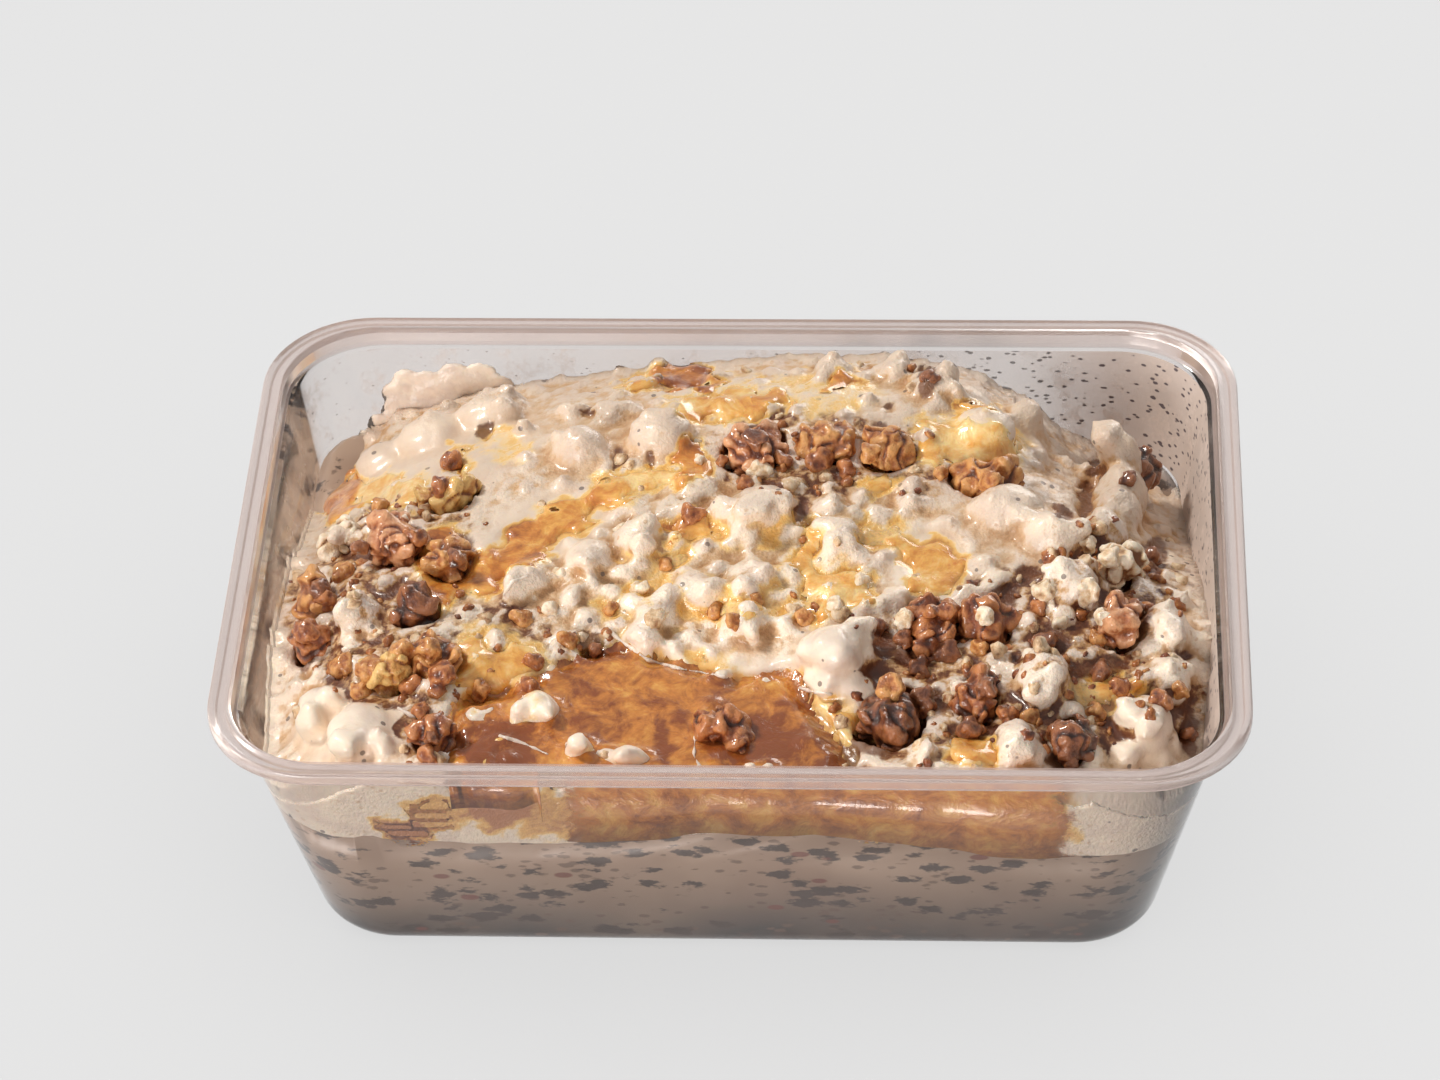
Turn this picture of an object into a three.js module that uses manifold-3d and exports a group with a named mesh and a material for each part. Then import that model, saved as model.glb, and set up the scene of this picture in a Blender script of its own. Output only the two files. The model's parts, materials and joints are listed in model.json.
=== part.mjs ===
// Millet milk pudding with cream, walnuts and honey in a clear rectangular takeaway tub.
// Millimetres, +Z up. The origin is the centre of the tub's footprint, on the surface it stands on.
// +X runs along the long side and -Y is the front, where the honey meets the wall.

import * as THREE from "three";
import { mergeVertices } from "three/addons/utils/BufferGeometryUtils.js";
import Module from "manifold-3d";

// Tub, outer sizes
const RIM_LENGTH = 173;
const RIM_WIDTH = 122;
const RIM_RADIUS = 18.8;
const TUB_HEIGHT = 52;
const BASE_LENGTH = 142.7;
const BASE_WIDTH = 95;
const BASE_RADIUS = 13.9;
const WALL_TOP_LENGTH = 165.1;
const WALL_TOP_WIDTH = 114.8;
const WALL_TOP_RADIUS = 16.9;
const LIP_HEIGHT = 2.2;
const WALL = 1;
const FLANGE_THICKNESS = 1.1;
const LIP_THICKNESS = 1.1;
const RIM_ROUNDING = 0.5;
const BASE_FILLET = 4.4;
const BASE_RECESS = 0.8;
const FOOT_WIDTH = 4;
const LEDGE_HEIGHT = 3.2;
const LEDGE_WIDTH = 1.1;
const CORNER_STEPS = 6;
const FILLET_STEPS = 3;

// Food, and the clearance that neighbouring pieces keep
const GAP = 0.3;
const PUDDING_LEVEL = 29.5;
const PUDDING_SINK = 3.5;
const PUDDING_WAVES = [
  { height: 1.6, acrossX: 13, acrossY: 400, shift: 1.2 },
  { height: 1.1, acrossX: 29, acrossY: 11, shift: 0 },
];
const HEAP_CELL = 7.5;
const POOL_CELL = 9;
const PUDDING_CELL = 14;
const HEAD_ROOM = 12;
const POOL_LEVEL = 46;
const POOL_DEPTH = 5;
const GLAZE_SINK = 0.4;
const GLAZE_DEPTH = 2.2;
const POOL_CENTRE = { x: -12, y: -44 };
const POOL_REACH = { x: 45, y: 30 };
const SKIRT_DEPTH = 2.6;
const SKIRT_FROM = -30;
const SKIRT_TO = 60;
const ROOM = 0.4;
const PEBBLE_COUNT = 10;
const SEED = 20;
const LARGE_WALNUT = 12.2;
const SMALL_LUMP = 3.7;
const LUMP_UNEVENNESS = 0.05;
const WALNUT_UNEVENNESS = 0.1;
const SWELL_WAVES = [3, 3.4, 2.6];
const PEBBLE_RANGE = { x: [-38, 74], y: [-48, 44], size: [1.9, 3.1] };

// Height of the topping above the table, in mm. Each row runs from the left wall to the right wall,
// and the rows run from the front wall to the back wall at even steps.
const HEAP_LEVELS = [
  [30, 44, 48, 48, 47, 48, 48, 40, 28],
  [32, 46, 47, 45.5, 45, 46, 48, 46, 35],
  [37, 47, 48.5, 47, 47, 49, 49, 49, 44],
  [37, 47, 49, 50, 50.5, 50, 50, 48, 41],
  [31, 45, 49, 51, 52, 52, 50.5, 43, 32],
  [28, 40, 47, 50, 52.5, 53, 51, 35, 28],
  [27, 36, 41, 43.5, 46, 46.5, 43, 28, 27],
];

// Cream lumps: place of the centre, rise over the heap, and half sizes along X, Y and Z
const CREAM_LUMPS = [
  // Smooth tongue at the back left
  [-64, 36, -2, 7, 6, 4],
  [-55, 38, -1.5, 8, 6.5, 4.5],
  [-45, 41, -1.5, 8, 6, 4.5],
  // Round lumps at the back
  [-28.5, 25, 0, 5.4, 5.2, 4.6],
  [-14.5, 27, 0.6, 6, 5.6, 4.8],
  [15, 47, -0.4, 4, 4, 3.4],
  [26, 47, -0.2, 4.2, 4, 3.4],
  [33, 41, 0, 5, 4.6, 3.8],
  [42, 30, -0.6, 6.5, 5.5, 4],
  [49, 40, 0, 4, 4.4, 3.6],
  // Blob that stands in the back right corner
  [65, 17, 0, 5, 5.5, 5.5],
  [66, 24, 1.5, 4.8, 5.5, 6.5],
  [66, 31, 6, 4.6, 5, 7],
  [63.5, 33, 11.5, 3.4, 3.4, 3.4],
  // Middle
  [4, 8, 0, 6.5, 5, 4],
  [-17, 1, 0, 4.6, 5, 3.6],
  [-25.5, -3.5, 0, 5, 4.4, 3.6],
  [-36, -8.5, 0.4, 3.8, 3.6, 3.2],
  [-13.5, -15.5, 0, 5, 4, 3],
  [-7.5, -10, 0, 4.4, 4.2, 3],
  [3, -9, 0, 5, 4.6, 3.6],
  [2, -18, 0.4, 5, 4, 3.2],
  [17, 2, 0.4, 4.4, 3.6, 3.4],
  [-8, 13, -0.4, 4.4, 4, 3],
  // Right
  [46, 9, 0.2, 7, 6, 4.6],
  [54, 3, 0.6, 6.5, 5.6, 5],
  [62, 8, 0, 5, 5, 5],
  [56.5, -10.5, 0.4, 5.6, 5.4, 4.6],
  [52, -32, 0.4, 5.8, 5.6, 4.8],
  [72, -18, 0.2, 5.6, 4.8, 4.6],
  [73, -28, 0.4, 4.4, 4.8, 4.4],
  [69, -38, 0.6, 5.6, 5.6, 5],
  [47.5, -46, 0, 4, 4, 3.8],
  // Front and front left
  [17.5, -27, 0.8, 7.4, 5.8, 5],
  [-32, -39, -2, 4.6, 4, 5.6],
  [-24.5, -47.5, -2, 3, 3, 5.6],
  [-16, -50.5, -3, 4.4, 2.6, 5.6],
  [-64.5, -15, 0.6, 4.8, 3.6, 3.6],
  [-69, -34, -0.6, 5, 5, 4.4],
  [-61, -43, -0.4, 6.4, 5.6, 4],
];

// Walnut pieces: place of the centre, rise over the heap, length, width, height, turn in degrees
const WALNUTS = [
  [-51, 15, 0.4, 11, 8.5, 8, 20],
  [-59.5, 1.5, 1.4, 12, 10, 9, 60],
  [-49.5, -4, 0.2, 12, 7.5, 7, 95],
  [-54.5, -15, 0.8, 9.6, 8, 8, 10],
  [-71, 10.5, 1, 10, 6, 6.5, 30],
  [-73, -7, 0.6, 8, 7.5, 8, 70],
  [-73, -17, 1, 8, 6.4, 8, 100],
  [-57, -31, 0.8, 9.4, 8, 7.4, 15],
  [-49, -28, 0.4, 11.5, 8, 7, 80],
  [-49.5, -46, 0.2, 8.6, 6.4, 6, 75],
  [2, 23, 0.4, 12.5, 10.5, 8, 40],
  [14, 24, 0.2, 10.5, 8, 7, 170],
  [25.5, 23, 0.4, 11.5, 10, 8, 110],
  [42, 17.5, 0.4, 15.5, 7.4, 7, 172],
  [69.5, 33, 7, 6, 6, 11, 0],
  [65, -4, 1, 9, 7.4, 8, 40],
  [65, -19.5, 1.2, 10.6, 8, 7.6, 85],
  [33, -19, 0.8, 15.5, 9, 8.4, 100],
  [43, -18, 0.4, 10.6, 8, 7.4, 65],
  [27, -40, 0.4, 16, 12, 9, 80],
  [41, -36, 0.6, 11, 7.6, 7.4, 95],
  [57.5, -44, 0.2, 8.8, 5.4, 6.4, 85],
  [0.5, -43, 1.4, 12, 9.4, 7, 20],
];

// Outlines of the honey as seen from above. The pool follows the front wall on its near side.
const POOL_OUTLINE = [
  [-44, -60], [-47, -48], [-46, -37], [-41, -32], [-34, -31], [-28, -25], [-19, -21.5],
  [-9, -25], [0, -28], [9, -28], [13, -34], [19, -44], [21, -60],
];
const HONEY_GLAZES = {
  honey_right: [[27, -3], [29, 3], [35, 5], [39, 1], [38, -6], [32, -9]],
  honey_streak: [[-46, -13], [-43, -3], [-41, 5], [-31, 11], [-22, 12], [-22, 7], [-30, 2], [-33, -5], [-41, -9]],
  honey_back: [[-12, 37], [-6, 41], [2, 40], [8, 36], [6, 31], [-3, 30], [-9, 32]],
  honey_crest: [[-17, 45], [-14, 50], [-7, 50], [-3, 46], [-9, 43]],
  honey_left: [[-74, 17], [-73, 25], [-68, 29], [-61, 27], [-60, 20], [-64, 15]],
};

const wasm = await Module();
wasm.setup();

const mix = THREE.MathUtils.lerp;
const radians = THREE.MathUtils.degToRad;

// Conversions between three.js geometry and solids

function toSolid(geometry) {
  const bare = geometry.clone();
  bare.deleteAttribute("normal");
  bare.deleteAttribute("uv");
  const merged = mergeVertices(bare);
  return new wasm.Manifold(new wasm.Mesh({
    numProp: 3,
    vertProperties: new Float32Array(merged.attributes.position.array),
    triVerts: new Uint32Array(merged.index.array),
  }));
}

function toGeometry(solid) {
  const mesh = solid.getMesh();
  const geometry = new THREE.BufferGeometry();
  geometry.setAttribute("position", new THREE.BufferAttribute(mesh.vertProperties, mesh.numProp));
  geometry.setIndex(new THREE.BufferAttribute(mesh.triVerts, 1));
  geometry.computeVertexNormals();
  return geometry;
}

function joined(solids) {
  return solids.reduce((sum, solid) => sum.add(solid));
}

function without(solid, cutters) {
  return cutters.reduce((rest, cutter) => rest.subtract(cutter), solid);
}

// Seeded random numbers from 0 to 1
function makeRandom(seed) {
  let state = seed;
  return () => {
    state = (state * 1664525 + 1013904223) % 4294967296;
    return state / 4294967296;
  };
}

// Closed skin through rings of points, with a flat face at each end
function loft(rings) {
  const count = rings[0].length;
  const points = rings.flat();
  const index = [];
  for (let level = 0; level + 1 < rings.length; level += 1) {
    for (let i = 0; i < count; i += 1) {
      const next = (i + 1) % count;
      const below = level * count;
      const above = below + count;
      index.push(below + i, below + next, above + next, below + i, above + next, above + i);
    }
  }
  const last = (rings.length - 1) * count;
  for (let i = 1; i + 1 < count; i += 1) {
    index.push(0, i + 1, i, last, last + i, last + i + 1);
  }
  const geometry = new THREE.BufferGeometry().setFromPoints(points);
  geometry.setIndex(index);
  return geometry;
}

// Ring of a rounded rectangle at one height
function ring(halfX, halfY, radius, z) {
  const coreX = halfX - radius;
  const coreY = halfY - radius;
  const quarter = Math.PI / 2;
  const corners = [[coreX, coreY], [-coreX, coreY], [-coreX, -coreY], [coreX, -coreY]];
  const points = corners.flatMap(([x, y], turn) => {
    const arc = new THREE.EllipseCurve(x, y, radius, radius, turn * quarter, (turn + 1) * quarter);
    return arc.getPoints(CORNER_STEPS);
  });
  return points.map((point) => new THREE.Vector3(point.x, point.y, z));
}

// Ring of the tapered wall at one height, moved inwards by an inset
function wallRing(z, inset) {
  const share = z / (TUB_HEIGHT - LIP_HEIGHT);
  return ring(
    mix(BASE_LENGTH, WALL_TOP_LENGTH, share) / 2 - inset,
    mix(BASE_WIDTH, WALL_TOP_WIDTH, share) / 2 - inset,
    mix(BASE_RADIUS, WALL_TOP_RADIUS, share) - inset,
    z,
  );
}

// Rings of the rounded bottom edge, from its low end to the wall
function filletRings(low, fillet, inset) {
  const rings = [];
  for (let step = 0; step <= FILLET_STEPS; step += 1) {
    const angle = (step / FILLET_STEPS) * (Math.PI / 2);
    rings.push(wallRing(low + fillet * (1 - Math.cos(angle)), inset + fillet * (1 - Math.sin(angle))));
  }
  return rings;
}

function rimRing(z, inset) {
  return ring(RIM_LENGTH / 2 - inset, RIM_WIDTH / 2 - inset, RIM_RADIUS - inset, z);
}

function makeTub() {
  const lipBottom = TUB_HEIGHT - LIP_HEIGHT;
  const flangeBottom = TUB_HEIGHT - FLANGE_THICKNESS;
  const ledge = TUB_HEIGHT - LEDGE_HEIGHT;
  const floor = BASE_RECESS + WALL;
  const outside = [
    wallRing(BASE_RECESS, BASE_FILLET + FOOT_WIDTH + BASE_RECESS),
    wallRing(0, BASE_FILLET + FOOT_WIDTH),
    ...filletRings(0, BASE_FILLET, 0),
    wallRing(ledge, 0),
    wallRing(flangeBottom, 0),
    rimRing(flangeBottom, LIP_THICKNESS),
    rimRing(lipBottom, LIP_THICKNESS),
    rimRing(lipBottom, 0),
    rimRing(TUB_HEIGHT - RIM_ROUNDING, 0),
    rimRing(TUB_HEIGHT, RIM_ROUNDING),
  ];
  const inside = [
    wallRing(TUB_HEIGHT, 0),
    wallRing(TUB_HEIGHT - RIM_ROUNDING, WALL - LEDGE_WIDTH),
    wallRing(ledge + WALL / 2, WALL - LEDGE_WIDTH),
    wallRing(ledge, WALL),
    ...filletRings(floor, BASE_FILLET - WALL, WALL).reverse(),
  ];
  return loft([...outside, ...inside]);
}

// The space inside the tub, kept clear of its wall and floor, and carried on above the rim
function cavity(inset) {
  const floor = BASE_RECESS + WALL + inset;
  const ledge = TUB_HEIGHT - LEDGE_HEIGHT;
  const rings = [...filletRings(floor, BASE_FILLET - WALL, WALL + inset), wallRing(ledge, WALL + inset)];
  const top = rings.at(-1).map((point) => point.clone().setZ(TUB_HEIGHT + HEAD_ROOM));
  return toSolid(loft([...rings, top]));
}

// Cubic through four even steps
function cubic(values, share) {
  const [before, from, to, after] = values;
  const slope = (to - before) / 2;
  const bend = before - 2.5 * from + 2 * to - after / 2;
  const twist = (after - before) / 2 + 1.5 * (from - to);
  return from + share * (slope + share * (bend + share * twist));
}

// Height of the heap under its lumps
function groundLevel(x, y) {
  const columns = HEAP_LEVELS[0].length - 1;
  const rows = HEAP_LEVELS.length - 1;
  const across = THREE.MathUtils.clamp((x / WALL_TOP_LENGTH + 0.5) * columns, 0, columns - 1e-4);
  const along = THREE.MathUtils.clamp((y / WALL_TOP_WIDTH + 0.5) * rows, 0, rows - 1e-4);
  const column = Math.floor(across);
  const row = Math.floor(along);
  const level = (r, c) => {
    return HEAP_LEVELS[THREE.MathUtils.clamp(r, 0, rows)][THREE.MathUtils.clamp(c, 0, columns)];
  };
  const steps = [-1, 0, 1, 2];
  const crossed = steps.map((r) => cubic(steps.map((c) => level(row + r, column + c)), across - column));
  return cubic(crossed, along - row);
}

// Height of the smooth speckled pudding: a wavy level that sinks towards the right
function puddingLevel(x, y) {
  const waves = PUDDING_WAVES.map(({ height, acrossX, acrossY, shift }) => {
    return height * Math.sin(x / acrossX + y / acrossY + shift);
  });
  const sink = PUDDING_SINK * Math.max(0, 2 * x / WALL_TOP_LENGTH) ** 2;
  return PUDDING_LEVEL + waves[0] + waves[1] - sink;
}

// Everything under a height function, down past the table
function under(level, cell) {
  const columns = Math.round(RIM_LENGTH / cell);
  const rows = Math.round(RIM_WIDTH / cell);
  const geometry = new THREE.BoxGeometry(RIM_LENGTH, RIM_WIDTH, HEAD_ROOM, columns, rows, 1);
  const places = geometry.attributes.position;
  for (let i = 0; i < places.count; i += 1) {
    const z = places.getZ(i) > 0 ? level(places.getX(i), places.getY(i)) : -HEAD_ROOM;
    places.setZ(i, z);
  }
  return toSolid(geometry);
}

// Upright column over an outline given as corner points, moved outwards by a clearance
function column(outline, grow) {
  const centre = outline.reduce((sum, [x, y]) => sum.add(new THREE.Vector2(x, y)), new THREE.Vector2());
  centre.divideScalar(outline.length);
  const points = outline.map(([x, y]) => {
    const away = new THREE.Vector2(x, y).sub(centre);
    return centre.clone().add(away.setLength(away.length() + grow));
  });
  const shape = new THREE.Shape();
  shape.moveTo(points[0].x, points[0].y);
  shape.splineThru([...points.slice(1), points[0]]);
  const depth = TUB_HEIGHT + HEAD_ROOM;
  return toSolid(new THREE.ExtrudeGeometry(shape, { depth, bevelEnabled: false, curveSegments: 2 }));
}

// Rough rounded piece. Its radius swells and dips with the direction, and grow adds a clearance.
function roughPiece({ centre, half, turn, unevenness, detail, seed, grow }) {
  const random = makeRandom(seed);
  const phases = SWELL_WAVES.map(() => random() * Math.PI * 2);
  const geometry = new THREE.IcosahedronGeometry(1, detail);
  const places = geometry.attributes.position;
  const point = new THREE.Vector3();
  for (let i = 0; i < places.count; i += 1) {
    point.fromBufferAttribute(places, i);
    const waves = SWELL_WAVES.map((wave, axis) => Math.sin(wave * point.getComponent(axis) + phases[axis]));
    const swell = waves.reduce((sum, wave) => sum + wave);
    point.multiplyScalar(1 + unevenness * swell).multiply(half);
    point.setLength(point.length() + grow);
    places.setXYZ(i, point.x, point.y, point.z);
  }
  geometry.rotateZ(radians(turn));
  geometry.translate(centre.x, centre.y, centre.z);
  return toSolid(geometry);
}

function creamLump([x, y, rise, halfX, halfY, halfZ], number, grow) {
  return roughPiece({
    centre: new THREE.Vector3(x, y, groundLevel(x, y) + rise),
    half: new THREE.Vector3(halfX, halfY, halfZ),
    turn: 0,
    unevenness: LUMP_UNEVENNESS,
    detail: halfX < SMALL_LUMP ? 0 : 1,
    seed: SEED + number,
    grow,
  });
}

function walnutPiece([x, y, rise, length, width, height, turn], number, grow) {
  return roughPiece({
    centre: new THREE.Vector3(x, y, groundLevel(x, y) + rise),
    half: new THREE.Vector3(length / 2, width / 2, height / 2),
    turn,
    unevenness: WALNUT_UNEVENNESS,
    detail: length < LARGE_WALNUT ? 1 : 2,
    seed: SEED * number,
    grow,
  });
}

// Whether a pebble of this size stays off the walnuts and the honey
function isFree(x, y, size) {
  const place = new THREE.Vector2(x, y);
  const offWalnuts = WALNUTS.every(([walnutX, walnutY, , length]) => {
    return place.distanceTo(new THREE.Vector2(walnutX, walnutY)) > length / 2 + size;
  });
  const offHoney = [POOL_OUTLINE, ...Object.values(HONEY_GLAZES)].every((outline) => {
    return outline.every((corner) => place.distanceTo(new THREE.Vector2(...corner)) > 3 * size);
  });
  return offWalnuts && offHoney && !isInside(x, y, POOL_OUTLINE);
}

function isInside(x, y, outline) {
  let inside = false;
  outline.forEach(([toX, toY], i) => {
    const [fromX, fromY] = outline.at(i - 1);
    const spans = fromY > y !== toY > y;
    if (spans && x < fromX + ((y - fromY) / (toY - fromY)) * (toX - fromX)) {
      inside = !inside;
    }
  });
  return inside;
}

// Nut pebbles coated in cream, strewn by a seeded rule over the middle and the right of the heap
function makePebbles() {
  const random = makeRandom(SEED);
  const pebbles = [];
  while (pebbles.length < PEBBLE_COUNT) {
    const x = mix(...PEBBLE_RANGE.x, random());
    const y = mix(...PEBBLE_RANGE.y, random());
    const size = mix(...PEBBLE_RANGE.size, random());
    const turn = mix(0, 180, random());
    if (isFree(x, y, size)) {
      pebbles.push(roughPiece({
        centre: new THREE.Vector3(x, y, groundLevel(x, y)),
        half: new THREE.Vector3(size, size * 0.8, size * 0.9),
        turn,
        unevenness: LUMP_UNEVENNESS,
        detail: 0,
        seed: SEED + pebbles.length,
        grow: 0,
      }));
    }
  }
  return pebbles;
}

// Honey between the topping and the front wall, seen through the wall below the rim
function skirt(grow) {
  const length = SKIRT_TO - SKIRT_FROM;
  const strip = new THREE.BoxGeometry(length + 2 * grow, RIM_WIDTH / 2, 2 * POOL_LEVEL + 2 * grow);
  strip.translate((SKIRT_FROM + SKIRT_TO) / 2, -RIM_WIDTH / 2, 0);
  const base = under((x, y) => puddingLevel(x, y) + GAP - grow, PUDDING_CELL);
  const top = under((x, y) => groundLevel(x, y) - GLAZE_SINK + grow, POOL_CELL);
  const shell = cavity(GAP - grow).subtract(cavity(SKIRT_DEPTH + grow)).intersect(toSolid(strip));
  return shell.subtract(base).intersect(top);
}

// Bed of the pool, a bowl that stays shallow round its edge
function poolBed(x, y) {
  const reach = ((x - POOL_CENTRE.x) / POOL_REACH.x) ** 2 + ((y - POOL_CENTRE.y) / POOL_REACH.y) ** 2;
  return POOL_LEVEL - POOL_DEPTH * THREE.MathUtils.clamp(1 - reach, 0.4, 1);
}

function honeyPool(grow) {
  const inside = column(POOL_OUTLINE, grow).intersect(cavity(GAP - grow));
  const bed = under((x, y) => poolBed(x, y) - grow, POOL_CELL);
  const pool = grow ? inside : inside.intersect(under(() => POOL_LEVEL, RIM_WIDTH));
  return pool.subtract(bed);
}

function honeyGlaze(outline, grow) {
  const inside = column(outline, grow).intersect(cavity(GAP - grow));
  const bed = under((x, y) => groundLevel(x, y) - GLAZE_SINK - GLAZE_DEPTH - grow, POOL_CELL);
  const sheet = inside.subtract(bed);
  return grow ? sheet : sheet.intersect(under((x, y) => groundLevel(x, y) - GLAZE_SINK, POOL_CELL));
}

// Materials, one for each mesh

function material(color, roughness, metalness = 0) {
  return new THREE.MeshStandardMaterial({ color, roughness, metalness });
}

function clearPlastic() {
  const plastic = material(0xc4b8b6, 0.25);
  plastic.transparent = true;
  plastic.opacity = 0.35;
  return plastic;
}

const cream = () => material(0xf0e4d4, 0.5);
const pudding = () => material(0xcbbcae, 0.6);
const walnut = () => material(0xa06a3e, 0.55);
const honey = () => material(0xbe7d32, 0.12);

const object = new THREE.Group();

function place(name, geometry, look) {
  const mesh = new THREE.Mesh(geometry, look);
  mesh.name = name;
  object.add(mesh);
}

// The pieces

const walnutRooms = WALNUTS.map((row, number) => walnutPiece(row, number + 1, ROOM));
const lumps = CREAM_LUMPS.map((row, number) => creamLump(row, number, 0));
const lumpRoom = joined(CREAM_LUMPS.map((row, number) => creamLump(row, number, ROOM)));
const glazes = Object.entries(HONEY_GLAZES);

place("tub", makeTub(), clearPlastic());

const puddingSolid = cavity(GAP).intersect(under(puddingLevel, PUDDING_CELL));
place("pudding", toGeometry(puddingSolid), pudding());

const heapBottom = under((x, y) => puddingLevel(x, y) + GAP, PUDDING_CELL);
const basins = [honeyPool(GAP), ...glazes.map(([, outline]) => honeyGlaze(outline, GAP))];
const heapCore = without(under(groundLevel, HEAP_CELL), basins);
const heapWhole = joined([heapCore, ...lumps, ...makePebbles()]).intersect(cavity(GAP));
const heapSolid = without(heapWhole, [heapBottom, skirt(GAP), ...walnutRooms]);
place("cream_heap", toGeometry(heapSolid), cream());

WALNUTS.forEach((row, number) => {
  const inside = walnutPiece(row, number + 1, 0).intersect(cavity(GAP));
  const solid = without(inside, walnutRooms.slice(0, number));
  place(`walnut_${String(number + 1).padStart(2, "0")}`, toGeometry(solid), walnut());
});

const honeyRooms = [lumpRoom, ...walnutRooms];
const poolSolid = joined([honeyPool(0), skirt(0)]);
place("honey_pool", toGeometry(without(poolSolid, honeyRooms)), honey());
glazes.forEach(([name, outline]) => {
  place(name, toGeometry(without(honeyGlaze(outline, 0), honeyRooms)), honey());
});

export default object;
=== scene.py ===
"""Looks of a clear takeaway tub of millet milk pudding topped with cream, walnuts and honey."""

import json
import logging
import math
import random
from collections.abc import Callable
from dataclasses import dataclass, field
from enum import Enum
from typing import NamedTuple

import bmesh
import bpy
import numpy as np
from mathutils import Euler, Matrix, Vector, noise
from mathutils.bvhtree import BVHTree

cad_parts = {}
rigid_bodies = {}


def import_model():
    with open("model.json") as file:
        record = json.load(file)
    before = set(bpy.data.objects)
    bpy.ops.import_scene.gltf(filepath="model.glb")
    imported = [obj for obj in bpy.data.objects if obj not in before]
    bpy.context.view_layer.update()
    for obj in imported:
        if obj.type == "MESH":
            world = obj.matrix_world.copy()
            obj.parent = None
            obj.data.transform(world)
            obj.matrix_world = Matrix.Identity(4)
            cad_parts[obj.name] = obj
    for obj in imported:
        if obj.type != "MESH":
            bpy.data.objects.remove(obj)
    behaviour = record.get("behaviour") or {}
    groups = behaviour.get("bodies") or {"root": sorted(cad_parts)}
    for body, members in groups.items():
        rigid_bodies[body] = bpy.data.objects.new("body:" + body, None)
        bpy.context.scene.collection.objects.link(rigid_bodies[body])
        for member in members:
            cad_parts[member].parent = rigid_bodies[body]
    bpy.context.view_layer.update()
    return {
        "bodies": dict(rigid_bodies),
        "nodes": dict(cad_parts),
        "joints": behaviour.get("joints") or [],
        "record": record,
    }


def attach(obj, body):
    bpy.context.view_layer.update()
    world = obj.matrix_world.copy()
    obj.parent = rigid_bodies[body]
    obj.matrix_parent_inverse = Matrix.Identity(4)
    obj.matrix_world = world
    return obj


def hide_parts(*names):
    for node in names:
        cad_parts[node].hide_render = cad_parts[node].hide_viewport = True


MM = 0.001
BODY = "root"
log = logging.getLogger("pudding")

Colour = tuple[float, float, float]


def shade(red: float, green: float, blue: float) -> Colour:
    """Turns a colour as seen on a screen, 0 to 255, into linear light."""

    def linear(value: float) -> float:
        """Linear light of one channel."""
        share = value / 255
        return share / 12.92 if share <= 0.04045 else ((share + 0.055) / 1.055) ** 2.4

    return linear(red), linear(green), linear(blue)


# Shaders


class Socket:
    """A shader value that takes part in plain arithmetic."""

    def __init__(self, shader: "Shader", output: bpy.types.NodeSocket) -> None:
        """Keeps a node's output and the shader that it belongs to."""
        self.shader = shader
        self.output = output

    def _math(self, operation: str, *values: "Socket | float") -> "Socket":
        """Adds a Math node that works on these values."""
        return self.shader.node(
            "ShaderNodeMath", {"operation": operation}, dict(enumerate(values))
        )

    def __add__(self, other: "Socket | float") -> "Socket":
        """Sum."""
        return self._math("ADD", self, other)

    __radd__ = __add__

    def __sub__(self, other: "Socket | float") -> "Socket":
        """Difference."""
        return self._math("SUBTRACT", self, other)

    def __rsub__(self, other: "Socket | float") -> "Socket":
        """Difference from a plain number."""
        return self._math("SUBTRACT", other, self)

    def __mul__(self, other: "Socket | float") -> "Socket":
        """Product."""
        return self._math("MULTIPLY", self, other)

    __rmul__ = __mul__

    def __truediv__(self, other: "Socket | float") -> "Socket":
        """Quotient."""
        return self._math("DIVIDE", self, other)

    def __pow__(self, other: "Socket | float") -> "Socket":
        """Power."""
        return self._math("POWER", self, other)

    def __gt__(self, other: "Socket | float") -> "Socket":
        """One where the value is above the other."""
        return self._math("GREATER_THAN", self, other)

    def smooth(self, low: float, high: float) -> "Socket":
        """Rises smoothly from 0 at the low value to 1 at the high one."""
        return self.shader.node(
            "ShaderNodeMapRange",
            {"interpolation_type": "SMOOTHSTEP", "clamp": True},
            {"Value": self, "From Min": low, "From Max": high},
        )

    def most(self, other: "Socket | float") -> "Socket":
        """The larger of two values."""
        return self._math("MAXIMUM", self, other)


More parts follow.
